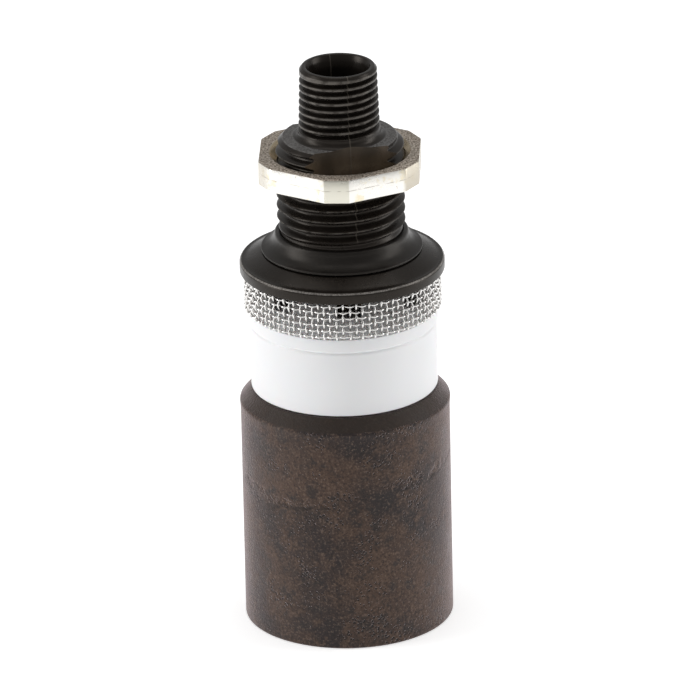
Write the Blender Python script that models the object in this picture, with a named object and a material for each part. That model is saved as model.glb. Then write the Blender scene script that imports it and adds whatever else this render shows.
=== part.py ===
"""Internal float drain for a compressed-air filter bowl, standing on its float with the outlet up.

In service it hangs the other way up: the threaded shank passes down through the bowl, the jam nut
clamps the bowl against the gasket, and water lifts the float away from the body. The float pulls a
lever off a pilot nozzle, air fills the space behind the piston, and the piston lifts the valve off
its seat in the outlet.

Every size below is in millimetres. The origin is the centre of the float's flat end, and +Z runs
along the axis towards the outlet.
"""

import math

import bmesh
import bpy
from mathutils import Matrix, Vector

MM = 0.001
ROUND = 40          # sides of a large turned piece
SMALL_ROUND = 16    # sides of a small turned piece
SHARP_ANGLE = math.radians(35)

# Clearances
SEAT_GAP = 0.2      # between faces that rest on each other
FIT_GAP = 0.15      # round a piece that is pressed or screwed in
SLIDE_GAP = 0.2     # round a piece that slides or turns
OVERRUN = 1.0       # how far a cutter passes the face that it cuts

# Float
FLOAT_RADIUS = 13.0
FLOAT_RIM_RADIUS = 13.1
FLOAT_HEIGHT = 30.45
FLOAT_CONE_HEIGHT = 1.6
FLOAT_STROKE = 3.0
SLEEVE_WALL = 0.8
SLEEVE_FLANGE_RADIUS = 3.2
SLEEVE_FLANGE_THICKNESS = 0.8
GUIDE_ROD_RADIUS = 1.0
GUIDE_ROD_RECESS = 2.6
GUIDE_ROD_TIP = 0.5
CLIP_RADIUS = 2.4
CLIP_THICKNESS = 0.5
CLIP_GROOVE_DEPTH = 0.3

# Body
BODY_RADIUS = 11.6
BODY_CHAMFER = 0.25
SKIRT_WALL = 1.1
SKIRT_DEPTH = 6.8
CYLINDER_RADIUS = 6.6
CHAMBER_HEIGHT = 3.2
CHAMBER_WALL = 1.35
COLLAR_RADIUS = 11.75
COLLAR_HEIGHT = 1.75
SCREEN_HEIGHT = 4.85
SCREEN_THICKNESS = 0.75
SCREEN_NECK_RADIUS = 11.45
WINDOW_COUNT = 8
WINDOW_WIDTH = 3.1
WINDOW_HEIGHT = 2.15
WINDOW_TURN = 3.7   # degrees from the front, to the right

# Stem: flange, bowl shank and outlet stub
FLANGE_RADIUS = 12.7
FLANGE_RIM_HEIGHT = 1.0
FLANGE_CONE_HEIGHT = 1.55
FLANGE_EDGE = 0.45
GASKET_SEAT_RADIUS = 10.0
SHANK_NECK_RADIUS = 7.6
SHANK_NECK_HEIGHT = 4.25
SHANK_CREST_RADIUS = 7.94
SHANK_PITCH = 25.4 / 18
SHANK_TURNS = 7
SHOULDER_HEIGHT = 1.67
SHOULDER_RADIUS = 7.0
SHOULDER_FACE_DROP = 0.9  # shoulder face below the stub thread
STUB_CREST_RADIUS = 4.83
STUB_PITCH = 25.4 / 27
STUB_TURNS = 8
STUB_TAPER = 1 / 32  # change of radius along the length
STUB_END_HEIGHT = 0.73
THREAD_DEPTH_RATIO = 0.6134
STUB_DEPTH_RATIO = 0.8
FLAT_DISTANCE = 5.35
FLAT_LENGTH = 4.6
PARTING_TURN = 14.5  # degrees from the front, to the right
OUTLET_BORE_RADIUS = 3.45
OUTLET_MOUTH = 0.35
SEAT_FLOOR_THICKNESS = 1.95
SEAT_LIP_HEIGHT = 0.4
SEAT_LIP_WALL = 0.4
ORIFICE_RADIUS = 2.4

# Gasket and jam nut
GASKET_HEIGHT = 2.35
GASKET_OUTER_WALL = 0.3
GASKET_TOP_WIDTH = 0.3
NUT_ACROSS_FLATS = 19.8
NUT_FACET_DISTANCE = 10.55
NUT_THICKNESS = 3.05
NUT_COUNTERSINK_RADIUS = 8.75
NUT_HEIGHT_ON_SHANK = 7.35
NUT_TURN = -2.7     # degrees from the front, to the left

# Piston, spindle and outlet valve
PISTON_STROKE = 2.0
PISTON_THICKNESS = 1.8
PISTON_GAP = 0.2
PISTON_MARGIN = 0.3  # cylinder left above the piston at full stroke
SEAL_SECTION_RADIUS = 0.5
SPINDLE_RADIUS = 1.5
SPINDLE_END_RADIUS = 1.1
SPINDLE_TOP_RADIUS = 1.0
SPINDLE_BORE_RADIUS = 0.6
SPINDLE_TIP = 0.4
JET_BORE_RADIUS = 0.2
JET_LENGTH = 2.0
PISTON_NUT_FLATS = 3.6
PISTON_NUT_THICKNESS = 0.8
VALVE_SEAL_RADIUS = 3.0
VALVE_SEAL_THICKNESS = 1.0
VALVE_NUT_FLATS = 4.0
VALVE_NUT_THICKNESS = 1.4
SPRING_WIRE_RADIUS = 0.25
SPRING_RADIUS = 3.3
SPRING_END_TURNS = 1.0
SPRING_ACTIVE_TURNS = 2.5

# Pilot plate, nozzle, lever and lift pin
PLATE_THICKNESS = 1.7
PLATE_BOSS_RADIUS = 2.2
PLATE_BOSS_HEIGHT = 1.1
PLATE_HOLE_FLOOR = 0.4  # left over the guide rod
PLATE_RING_RADIUS = 7.05
PLATE_RING_SECTION_RADIUS = 0.3
SCREW_CIRCLE_RADIUS = 8.75
SCREW_COUNT = 3
SCREW_RADIUS = 0.75
SCREW_HEAD_RADIUS = 1.3
SCREW_HEAD_HEIGHT = 0.9
SCREW_BITE = 1.9
SCREW_SOCKET_FLATS = 1.2
SCREW_SOCKET_DEPTH = 0.5
PIN_RADIUS = 0.5
PIN_DROP = 2.1
PIN_HEAD = 0.4
EAR_THICKNESS = 0.8
EAR_HALF_LENGTH = 1.1
LEVER_PIVOT = 7.2
LEVER_THICKNESS = 0.5
LEVER_HALF_WIDTH = 1.6
LEVER_EYE_RADIUS = 3.1
LEVER_EYE_HOLE = 1.8
LEVER_TAIL = 1.4
KNUCKLE_WALL = 0.4
NOZZLE_DISTANCE = 2.4
NOZZLE_RADIUS = 1.1
NOZZLE_TIP_RADIUS = 0.55
NOZZLE_BORE_RADIUS = 0.25
PAD_RADIUS = 1.0
PAD_PLUG_RADIUS = 0.5
PAD_HEAD = 0.45
LIFT_PIN_DISTANCE = 13.2
LIFT_PIN_RADIUS = 0.9
LIFT_PIN_NECK_RADIUS = 0.45
LIFT_PIN_HEAD_RADIUS = 1.05
LIFT_PIN_HEAD_HEIGHT = 0.6
LIFT_PIN_DEPTH = 5.0
LIFT_PIN_PLAY = 0.35   # above and below the lever, so that it can tilt between shoulder and head

# Heights along the axis, from the float's flat end up
BODY_BOTTOM = FLOAT_HEIGHT + SEAT_GAP
WEB_BOTTOM = BODY_BOTTOM + SKIRT_DEPTH
PLATE_TOP = WEB_BOTTOM - SEAT_GAP
PLATE_BOTTOM = PLATE_TOP - PLATE_THICKNESS
SPINDLE_BOTTOM = PLATE_TOP + PISTON_GAP
PISTON_BOTTOM = SPINDLE_BOTTOM + PISTON_NUT_THICKNESS + SEAT_GAP
PISTON_TOP = PISTON_BOTTOM + PISTON_THICKNESS
CHAMBER_FLOOR = PISTON_TOP + PISTON_STROKE + PISTON_MARGIN
BODY_TOP = CHAMBER_FLOOR + CHAMBER_HEIGHT
COLLAR_TOP = BODY_TOP - SCREEN_HEIGHT
FLANGE_BOTTOM = BODY_TOP + SEAT_GAP
FLANGE_RIM_TOP = FLANGE_BOTTOM + FLANGE_RIM_HEIGHT
GASKET_SEAT = FLANGE_RIM_TOP + FLANGE_CONE_HEIGHT
GASKET_TOP = GASKET_SEAT + SEAT_GAP + GASKET_HEIGHT
SHANK_THREAD_BOTTOM = GASKET_SEAT + SHANK_NECK_HEIGHT
SHANK_THREAD_TOP = SHANK_THREAD_BOTTOM + SHANK_TURNS * SHANK_PITCH
STUB_THREAD_BOTTOM = SHANK_THREAD_TOP + SHOULDER_HEIGHT
STUB_THREAD_TOP = STUB_THREAD_BOTTOM + STUB_TURNS * STUB_PITCH
STEM_TOP = STUB_THREAD_TOP + STUB_END_HEIGHT
SEAT_FLOOR = FLANGE_BOTTOM + SEAT_FLOOR_THICKNESS
SEAT_TOP = SEAT_FLOOR + SEAT_LIP_HEIGHT
NUT_BOTTOM = GASKET_TOP + NUT_HEIGHT_ON_SHANK
NUT_TOP = NUT_BOTTOM + NUT_THICKNESS
VALVE_SEAL_BOTTOM = SEAT_TOP + SEAT_GAP
VALVE_SEAL_TOP = VALVE_SEAL_BOTTOM + VALVE_SEAL_THICKNESS
VALVE_NUT_BOTTOM = VALVE_SEAL_TOP + SEAT_GAP
VALVE_NUT_TOP = VALVE_NUT_BOTTOM + VALVE_NUT_THICKNESS
SPINDLE_TOP = VALVE_NUT_TOP + SPINDLE_TIP
PIN_HEIGHT = PLATE_BOTTOM - PIN_DROP
CLIP_BOTTOM = GUIDE_ROD_RECESS + GUIDE_ROD_TIP
SLEEVE_BOTTOM = CLIP_BOTTOM + CLIP_THICKNESS + SEAT_GAP + FLOAT_STROKE

# Radii that follow from the pieces they fit
SLEEVE_BORE_RADIUS = GUIDE_ROD_RADIUS + SLIDE_GAP
SLEEVE_RADIUS = SLEEVE_BORE_RADIUS + SLEEVE_WALL
FLOAT_POCKET_RADIUS = SLEEVE_FLANGE_RADIUS + 2 * FIT_GAP
SKIRT_RADIUS = BODY_RADIUS - SKIRT_WALL
PLATE_RADIUS = SKIRT_RADIUS - SLIDE_GAP
CHAMBER_RADIUS = SCREEN_NECK_RADIUS - CHAMBER_WALL
PISTON_RADIUS = CYLINDER_RADIUS - SLIDE_GAP
PISTON_SEAL_RADIUS = CYLINDER_RADIUS - FIT_GAP - SEAL_SECTION_RADIUS
SCREW_HOLE_RADIUS = SCREW_RADIUS + FIT_GAP
NUT_BORE_RADIUS = SHANK_CREST_RADIUS + SLIDE_GAP
LEVER_HALF_GAP = LEVER_HALF_WIDTH + SLIDE_GAP


# ---------------------------------------------------------------- helpers

def make_material(name, colour, roughness, metallic=0.0):
    material = bpy.data.materials.new(name)
    material.use_nodes = True
    shader = material.node_tree.nodes["Principled BSDF"]
    shader.inputs["Base Color"].default_value = (*colour, 1.0)
    shader.inputs["Roughness"].default_value = roughness
    shader.inputs["Metallic"].default_value = metallic
    material.diffuse_color = (*colour, 1.0)
    return material


def finish_mesh(edit, name):
    """Close, face outwards and shade a shape, and give its mesh."""
    bmesh.ops.remove_doubles(edit, verts=edit.verts, dist=0.001 * MM)
    bmesh.ops.recalc_face_normals(edit, faces=edit.faces)
    mesh = bpy.data.meshes.new(name)
    edit.to_mesh(mesh)
    edit.free()
    mesh.shade_smooth()
    mesh.set_sharp_from_angle(angle=SHARP_ANGLE)
    return mesh


def add_turned(edit, outline, segments=ROUND, centre=(0, 0)):
    """Turn an outline of (radius, height) points once round an upright axis at centre.

    An outline that starts and ends on the axis stays open there; any other is closed.
    """
    corners = [edit.verts.new((radius * MM, 0, height * MM)) for radius, height in outline]
    sides = list(zip(corners, corners[1:]))
    if outline[0][0] > 0:
        sides.append((corners[-1], corners[0]))
    edges = [edit.edges.new(side) for side in sides]
    before = set(edit.verts) - set(corners)
    bmesh.ops.spin(
        edit, geom=corners + edges, axis=(0, 0, 1), cent=(0, 0, 0),
        angle=2 * math.pi, steps=segments, use_merge=True,
    )
    made = [corner for corner in edit.verts if corner not in before]
    shift = Vector((centre[0], centre[1], 0)) * MM
    bmesh.ops.translate(edit, verts=made, vec=shift)


def turned_mesh(name, outline, segments=ROUND, centre=(0, 0)):
    edit = bmesh.new()
    add_turned(edit, outline, segments, centre)
    return finish_mesh(edit, name)


def add_extruded(edit, outline, low, high):
    """Extrude an outline of (x, y) points from one height to another."""
    corners = [edit.verts.new((x * MM, y * MM, low * MM)) for x, y in outline]
    face = edit.faces.new(corners)
    raised = bmesh.ops.extrude_face_region(edit, geom=[face])["geom"]
    top = [item for item in raised if isinstance(item, bmesh.types.BMVert)]
    bmesh.ops.translate(edit, verts=top, vec=(0, 0, (high - low) * MM))


def extruded_mesh(name, outline, low, high):
    edit = bmesh.new()
    add_extruded(edit, outline, low, high)
    return finish_mesh(edit, name)


def rod_outline(radius, low, high):
    return [(0, low), (radius, low), (radius, high), (0, high)]


def ring_outline(inner, outer, low, high):
    return [(inner, low), (outer, low), (outer, high), (inner, high)]


def circle_outline(middle_radius, height, section_radius, points=8):
    """The round section of an O-ring."""
    turns = [2 * math.pi * step / points for step in range(points)]
    return [
        (middle_radius + section_radius * math.cos(turn), height + section_radius * math.sin(turn))
        for turn in turns
    ]


def polygon(sides, distance, turn=0.0):
    """Corners of a regular polygon whose flats stand at this distance from the middle."""
    reach = distance / math.cos(math.pi / sides)
    return [
        (reach * math.cos(turn + 2 * math.pi * side / sides),
         reach * math.sin(turn + 2 * math.pi * side / sides))
        for side in range(sides)
    ]


def front_turn(degrees):
    """Angle from +X of a direction given in degrees from the front (-Y), to the right."""
    return math.radians(degrees - 90)


def on_circle(radius, angle):
    return radius * math.cos(angle), radius * math.sin(angle)


def add_object(name, mesh, material, parent=None):
    piece = bpy.data.objects.new(name, mesh)
    piece.data.materials.append(material)
    bpy.context.scene.collection.objects.link(piece)
    piece.parent = parent
    return piece


def add_axis(name, place=(0, 0, 0)):
    """An empty on a joint's axis. The pieces that move there are its children."""
    axis = bpy.data.objects.new(name, None)
    axis.location = Vector(place) * MM
    bpy.context.scene.collection.objects.link(axis)
    return axis


def combine(piece, mesh, operation="DIFFERENCE"):
    """Cut this mesh from the piece, or join it to the piece. The mesh is in the piece's own frame."""
    tool = bpy.data.objects.new(mesh.name, mesh)
    bpy.context.scene.collection.objects.link(tool)
    tool.parent = piece.parent
    tool.hide_render = True
    tool.display_type = "WIRE"
    modifier = piece.modifiers.new(mesh.name, "BOOLEAN")
    modifier.operation = operation
    modifier.object = tool


def add_box(edit, low, high, turn=0.0):
    """A box between two corners, turned about the upright axis afterwards."""
    middle = (Vector(low) + Vector(high)) / 2
    sides = Vector(high) - Vector(low)
    place = (
        Matrix.Rotation(turn, 4, "Z")
        @ Matrix.Translation(middle * MM)
        @ Matrix.Diagonal((*(sides * MM), 1))
    )
    bmesh.ops.create_cube(edit, size=1, matrix=place)


def box_mesh(name, low, high, turn=0.0):
    edit = bmesh.new()
    add_box(edit, low, high, turn)
    return finish_mesh(edit, name)


def cross_rod_mesh(name, radius, half_length, centre, segments=SMALL_ROUND):
    """A round rod along Y through centre."""
    edit = bmesh.new()
    add_turned(edit, rod_outline(radius, -half_length, half_length), segments)
    bmesh.ops.transform(
        edit, verts=edit.verts,
        matrix=Matrix.Translation(Vector(centre) * MM) @ Matrix.Rotation(math.pi / 2, 4, "X"),
    )
    return finish_mesh(edit, name)


def holes_mesh(name, places, radius, low, high, segments=SMALL_ROUND):
    edit = bmesh.new()
    for place in places:
        add_turned(edit, rod_outline(radius, low, high), segments, place)
    return finish_mesh(edit, name)


def screw_places():
    """Centres of the plate screws, the first at the back."""
    step = 2 * math.pi / SCREW_COUNT
    return [on_circle(SCREW_CIRCLE_RADIUS, math.pi / 2 + step * turn) for turn in range(SCREW_COUNT)]


# ---------------------------------------------------------------- stem

def thread_outline(bottom, turns, pitch, depth, crest, taper=0.0):
    """Ridges of a thread as (radius, height) points, upwards, narrowing by taper."""
    points = []
    for turn in range(turns):
        low = bottom + turn * pitch
        points.append((crest - depth - taper * (low - bottom), low))
        points.append((crest - taper * (low + pitch / 2 - bottom), low + pitch / 2))
    top = bottom + turns * pitch
    points.append((crest - depth - taper * (top - bottom), top))
    return points


def stem_outline():
    shank_depth = THREAD_DEPTH_RATIO * SHANK_PITCH
    stub_depth = STUB_DEPTH_RATIO * STUB_PITCH
    stub_length = STUB_TURNS * STUB_PITCH
    stub_foot = STUB_CREST_RADIUS + STUB_TAPER * stub_length
    face = STUB_THREAD_BOTTOM - SHOULDER_FACE_DROP
    chamfer = face - SHANK_THREAD_TOP
    flange = [
        (ORIFICE_RADIUS, FLANGE_BOTTOM),
        (FLANGE_RADIUS, FLANGE_BOTTOM),
        (FLANGE_RADIUS, FLANGE_RIM_TOP),
        (FLANGE_RADIUS - 0.3 * FLANGE_EDGE, FLANGE_RIM_TOP + 0.6 * FLANGE_EDGE),
        (FLANGE_RADIUS - FLANGE_EDGE, FLANGE_RIM_TOP + FLANGE_EDGE),
        (GASKET_SEAT_RADIUS, GASKET_SEAT),
        (SHANK_NECK_RADIUS, GASKET_SEAT),
        (SHANK_NECK_RADIUS, SHANK_THREAD_BOTTOM - 0.3),
    ]
    shank = thread_outline(
        SHANK_THREAD_BOTTOM, SHANK_TURNS, SHANK_PITCH, shank_depth, SHANK_CREST_RADIUS
    )
    shoulder = [
        (SHOULDER_RADIUS + 0.7 * chamfer, SHANK_THREAD_TOP + 0.3 * chamfer),
        (SHOULDER_RADIUS, face),
        (stub_foot + 0.85, face),
        (stub_foot + 0.25, face + 0.3 * SHOULDER_FACE_DROP),
        (stub_foot, face + 0.75 * SHOULDER_FACE_DROP),
    ]
    stub = thread_outline(
        STUB_THREAD_BOTTOM, STUB_TURNS, STUB_PITCH, stub_depth, stub_foot, STUB_TAPER
    )
    end = [
        (STUB_CREST_RADIUS - 0.2, STUB_THREAD_TOP + 0.1),
        (STUB_CREST_RADIUS - 0.5, STEM_TOP),
        (OUTLET_BORE_RADIUS + OUTLET_MOUTH, STEM_TOP),
        (OUTLET_BORE_RADIUS, STEM_TOP - OUTLET_MOUTH),
    ]
    valve_seat = [
        (OUTLET_BORE_RADIUS, SEAT_FLOOR),
        (ORIFICE_RADIUS + SEAT_LIP_WALL, SEAT_FLOOR),
        (ORIFICE_RADIUS + 0.6 * SEAT_LIP_WALL, SEAT_TOP),
        (ORIFICE_RADIUS, SEAT_TOP),
    ]
    return flange + shank + shoulder + stub + end + valve_seat


def make_outlet_stem(material):
    stem = add_object("outlet_stem", turned_mesh("outlet_stem", stem_outline()), material)
    turn = math.radians(PARTING_TURN)
    reach = 2 * SHANK_CREST_RADIUS
    low = SHANK_THREAD_TOP + SHOULDER_HEIGHT - 0.2 - FLAT_LENGTH
    high = STUB_THREAD_BOTTOM
    combine(stem, box_mesh("front_flat_cut", (-reach, -reach, low), (reach, -FLAT_DISTANCE, high), turn))
    combine(stem, box_mesh("back_flat_cut", (-reach, FLAT_DISTANCE, low), (reach, reach, high), turn))
    blind_holes = holes_mesh(
        "stem_screw_holes", screw_places(), SCREW_HOLE_RADIUS,
        FLANGE_BOTTOM - OVERRUN, FLANGE_BOTTOM + SCREW_BITE + SEAT_GAP,
    )
    combine(stem, blind_holes)
    return stem


def make_bowl_gasket(material):
    inner = SHANK_CREST_RADIUS + FIT_GAP
    low = GASKET_SEAT + SEAT_GAP
    outline = [
        (inner, low),
        (GASKET_SEAT_RADIUS - 0.05, low),
        (GASKET_SEAT_RADIUS - 0.05, low + GASKET_OUTER_WALL),
        (GASKET_SEAT_RADIUS - 0.75, low + GASKET_OUTER_WALL + 0.2 * GASKET_HEIGHT),
        (inner + GASKET_TOP_WIDTH + 0.15, low + 0.6 * GASKET_HEIGHT),
        (inner + GASKET_TOP_WIDTH, GASKET_TOP),
        (inner, GASKET_TOP),
    ]
    add_object("bowl_gasket", turned_mesh("bowl_gasket", outline), material)


def nut_outline():
    """Twelve corners: a hexagon whose corners are cut off square."""
    flat = NUT_ACROSS_FLATS / 2
    half_side = flat * math.tan(math.pi / 6)
    cut = (flat / math.cos(math.pi / 6) - NUT_FACET_DISTANCE) / math.cos(math.pi / 3)
    points = []
    for side in range(6):
        turn = front_turn(NUT_TURN) + math.pi / 6 + side * math.pi / 3
        for along in (cut - half_side, half_side - cut):
            points.append((
                flat * math.cos(turn) - along * math.sin(turn),
                flat * math.sin(turn) + along * math.cos(turn),
            ))
    return points


def make_jam_nut(material, axis):
    block = extruded_mesh("jam_nut", nut_outline(), NUT_BOTTOM, NUT_TOP)
    nut = add_object("jam_nut", block, material, axis)
    countersink = NUT_COUNTERSINK_RADIUS - NUT_BORE_RADIUS
    bore = [
        (0, NUT_BOTTOM - OVERRUN),
        (NUT_COUNTERSINK_RADIUS + OVERRUN, NUT_BOTTOM - OVERRUN),
        (NUT_BORE_RADIUS, NUT_BOTTOM + countersink),
        (NUT_BORE_RADIUS, NUT_TOP - countersink),
        (NUT_COUNTERSINK_RADIUS + OVERRUN, NUT_TOP + OVERRUN),
        (0, NUT_TOP + OVERRUN),
    ]
    combine(nut, turned_mesh("jam_nut_bore", bore))


# ---------------------------------------------------------------- body

def body_outline():
    return [
        (SKIRT_RADIUS, BODY_BOTTOM),
        (BODY_RADIUS - BODY_CHAMFER, BODY_BOTTOM),
        (BODY_RADIUS, BODY_BOTTOM + BODY_CHAMFER),
        (BODY_RADIUS, COLLAR_TOP - COLLAR_HEIGHT),
        (COLLAR_RADIUS, COLLAR_TOP - COLLAR_HEIGHT + 0.2),
        (COLLAR_RADIUS, COLLAR_TOP),
        (SCREEN_NECK_RADIUS, COLLAR_TOP),
        (SCREEN_NECK_RADIUS, BODY_TOP),
        (CHAMBER_RADIUS, BODY_TOP),
        (CHAMBER_RADIUS, CHAMBER_FLOOR),
        (CYLINDER_RADIUS, CHAMBER_FLOOR),
        (CYLINDER_RADIUS, WEB_BOTTOM),
        (SKIRT_RADIUS, WEB_BOTTOM),
    ]


def make_drain_body(material):
    body = add_object("drain_body", turned_mesh("drain_body", body_outline()), material)
    windows = bmesh.new()
    low = (CHAMBER_RADIUS - OVERRUN, -WINDOW_WIDTH / 2, BODY_TOP - WINDOW_HEIGHT)
    high = (SCREEN_NECK_RADIUS + OVERRUN, WINDOW_WIDTH / 2, BODY_TOP + OVERRUN)
    for number in range(WINDOW_COUNT):
        add_box(windows, low, high, front_turn(WINDOW_TURN) + 2 * math.pi * number / WINDOW_COUNT)
    combine(body, finish_mesh(windows, "body_windows"))
    combine(body, holes_mesh(
        "body_screw_holes", screw_places(), SCREW_HOLE_RADIUS, WEB_BOTTOM - OVERRUN, CHAMBER_FLOOR + OVERRUN
    ))


def make_inlet_screen(material):
    inner = SCREEN_NECK_RADIUS + FIT_GAP
    outline = ring_outline(inner, inner + SCREEN_THICKNESS, COLLAR_TOP + FIT_GAP, BODY_TOP - 0.05)
    add_object("inlet_screen", turned_mesh("inlet_screen", outline), material)


# ---------------------------------------------------------------- piston and outlet valve

def make_piston(material, axis):
    groove_low = PISTON_BOTTOM + PISTON_THICKNESS / 2 - SEAL_SECTION_RADIUS - FIT_GAP
    groove_high = PISTON_BOTTOM + PISTON_THICKNESS / 2 + SEAL_SECTION_RADIUS + FIT_GAP
    groove_radius = PISTON_SEAL_RADIUS - SEAL_SECTION_RADIUS - FIT_GAP
    hole = SPINDLE_END_RADIUS + FIT_GAP
    outline = [
        (hole, PISTON_BOTTOM), (PISTON_RADIUS, PISTON_BOTTOM), (PISTON_RADIUS, groove_low),
        (groove_radius, groove_low), (groove_radius, groove_high), (PISTON_RADIUS, groove_high),
        (PISTON_RADIUS, PISTON_TOP), (hole, PISTON_TOP),
    ]
    add_object("piston", turned_mesh("piston", outline), material, axis)


def make_piston_seal(material, axis):
    section = circle_outline(
        PISTON_SEAL_RADIUS, PISTON_BOTTOM + PISTON_THICKNESS / 2, SEAL_SECTION_RADIUS
    )
    add_object("piston_seal", turned_mesh("piston_seal", section, 32), material, axis)


def make_valve_spindle(material, axis):
    """A hollow rod: the space behind the piston bleeds down it into the outlet."""
    jet_pocket = SPINDLE_BOTTOM + JET_LENGTH + SEAT_GAP
    outline = [
        (SPINDLE_BORE_RADIUS + FIT_GAP, SPINDLE_BOTTOM),
        (SPINDLE_END_RADIUS, SPINDLE_BOTTOM),
        (SPINDLE_END_RADIUS, PISTON_TOP + SEAT_GAP),
        (SPINDLE_RADIUS, PISTON_TOP + SEAT_GAP),
        (SPINDLE_RADIUS, VALVE_SEAL_BOTTOM - SEAT_GAP),
        (SPINDLE_TOP_RADIUS, VALVE_SEAL_BOTTOM - SEAT_GAP),
        (SPINDLE_TOP_RADIUS, SPINDLE_TOP),
        (SPINDLE_BORE_RADIUS - FIT_GAP, SPINDLE_TOP),
        (SPINDLE_BORE_RADIUS - FIT_GAP, jet_pocket),
        (SPINDLE_BORE_RADIUS + FIT_GAP, jet_pocket),
    ]
    add_object("valve_spindle", turned_mesh("valve_spindle", outline, SMALL_ROUND), material, axis)


def make_bleed_jet(material, axis):
    outline = ring_outline(
        JET_BORE_RADIUS, SPINDLE_BORE_RADIUS, SPINDLE_BOTTOM, SPINDLE_BOTTOM + JET_LENGTH
    )
    add_object("bleed_jet", turned_mesh("bleed_jet", outline, 12), material, axis)


def make_hex_nut(name, flats, hole, low, high, material, axis):
    nut = add_object(name, extruded_mesh(name, polygon(6, flats / 2), low, high), material, axis)
    combine(nut, turned_mesh(name + "_hole", rod_outline(hole, low - OVERRUN, high + OVERRUN), SMALL_ROUND))


def make_valve_seal(material, axis):
    outline = ring_outline(
        SPINDLE_TOP_RADIUS + FIT_GAP, VALVE_SEAL_RADIUS, VALVE_SEAL_BOTTOM, VALVE_SEAL_TOP
    )
    add_object("valve_seal", turned_mesh("valve_seal", outline, 24), material, axis)


def spring_height(turns_up, low, high):
    """Height of the wire after so many turns: close together at both ends, open between."""
    close_pitch = 2 * SPRING_WIRE_RADIUS + 0.15
    rise = high - low - 2 * SPRING_END_TURNS * close_pitch
    open_turns = min(max(turns_up - SPRING_END_TURNS, 0), SPRING_ACTIVE_TURNS)
    close_turns = turns_up - open_turns
    return low + close_turns * close_pitch + open_turns * rise / SPRING_ACTIVE_TURNS


def make_piston_spring(material):
    low = PISTON_TOP + SEAT_GAP + SPRING_WIRE_RADIUS
    high = FLANGE_BOTTOM - SEAT_GAP - SPRING_WIRE_RADIUS
    turns = 2 * SPRING_END_TURNS + SPRING_ACTIVE_TURNS
    steps = round(14 * turns)
    curve = bpy.data.curves.new("piston_spring", "CURVE")
    curve.dimensions = "3D"
    curve.bevel_depth = SPRING_WIRE_RADIUS * MM
    curve.bevel_resolution = 1
    curve.use_fill_caps = True
    wire = curve.splines.new("POLY")
    wire.points.add(steps)
    for step, point in enumerate(wire.points):
        angle = 2 * math.pi * turns * step / steps
        height = spring_height(turns * step / steps, low, high)
        place = Vector((*on_circle(SPRING_RADIUS, angle), height)) * MM
        point.co = (*place, 1)
    add_object("piston_spring", curve, material)


# ---------------------------------------------------------------- pilot plate, lever and screws

def make_pilot_plate(material):
    boss_bottom = PLATE_BOTTOM - PLATE_BOSS_HEIGHT
    outline = [
        (0, boss_bottom), (PLATE_BOSS_RADIUS, boss_bottom), (PLATE_BOSS_RADIUS, PLATE_BOTTOM),
        (PLATE_RADIUS, PLATE_BOTTOM), (PLATE_RADIUS, PLATE_TOP), (0, PLATE_TOP),
    ]
    plate = add_object("pilot_plate", turned_mesh("pilot_plate", outline), material)
    ears = bmesh.new()
    ear_low, ear_high = PIN_HEIGHT - EAR_HALF_LENGTH, PLATE_BOTTOM + PLATE_THICKNESS / 2
    for inner in (LEVER_HALF_GAP, -LEVER_HALF_GAP - EAR_THICKNESS):
        add_box(
            ears, (LEVER_PIVOT - EAR_HALF_LENGTH, inner, ear_low),
            (LEVER_PIVOT + EAR_HALF_LENGTH, inner + EAR_THICKNESS, ear_high),
        )
    combine(plate, finish_mesh(ears, "plate_ears"), "UNION")
    combine(plate, cross_rod_mesh(
        "plate_pin_hole", PIN_RADIUS + FIT_GAP, LEVER_HALF_GAP + EAR_THICKNESS + OVERRUN,
        (LEVER_PIVOT, 0, PIN_HEIGHT),
    ))
    combine(plate, holes_mesh(
        "plate_screw_holes", screw_places(), SCREW_HOLE_RADIUS, PLATE_BOTTOM - OVERRUN, PLATE_TOP + OVERRUN
    ))
    combine(plate, holes_mesh(
        "plate_nozzle_hole", [(LEVER_PIVOT - NOZZLE_DISTANCE, 0)], NOZZLE_RADIUS + FIT_GAP,
        PLATE_BOTTOM - OVERRUN, PLATE_TOP + OVERRUN,
    ))
    combine(plate, holes_mesh(
        "plate_rod_hole", [(0, 0)], GUIDE_ROD_RADIUS + FIT_GAP,
        boss_bottom - OVERRUN, PLATE_TOP - PLATE_HOLE_FLOOR,
    ))
    groove = ring_outline(
        PLATE_RING_RADIUS - PLATE_RING_SECTION_RADIUS - FIT_GAP,
        PLATE_RING_RADIUS + PLATE_RING_SECTION_RADIUS + FIT_GAP,
        PLATE_TOP - 2 * PLATE_RING_SECTION_RADIUS - FIT_GAP, PLATE_TOP + OVERRUN,
    )
    combine(plate, turned_mesh("plate_ring_groove", groove))


def make_plate_ring(material):
    section = circle_outline(
        PLATE_RING_RADIUS, PLATE_TOP - PLATE_RING_SECTION_RADIUS, PLATE_RING_SECTION_RADIUS, 6
    )
    add_object("plate_o_ring", turned_mesh("plate_o_ring", section, 32), material)


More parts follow.
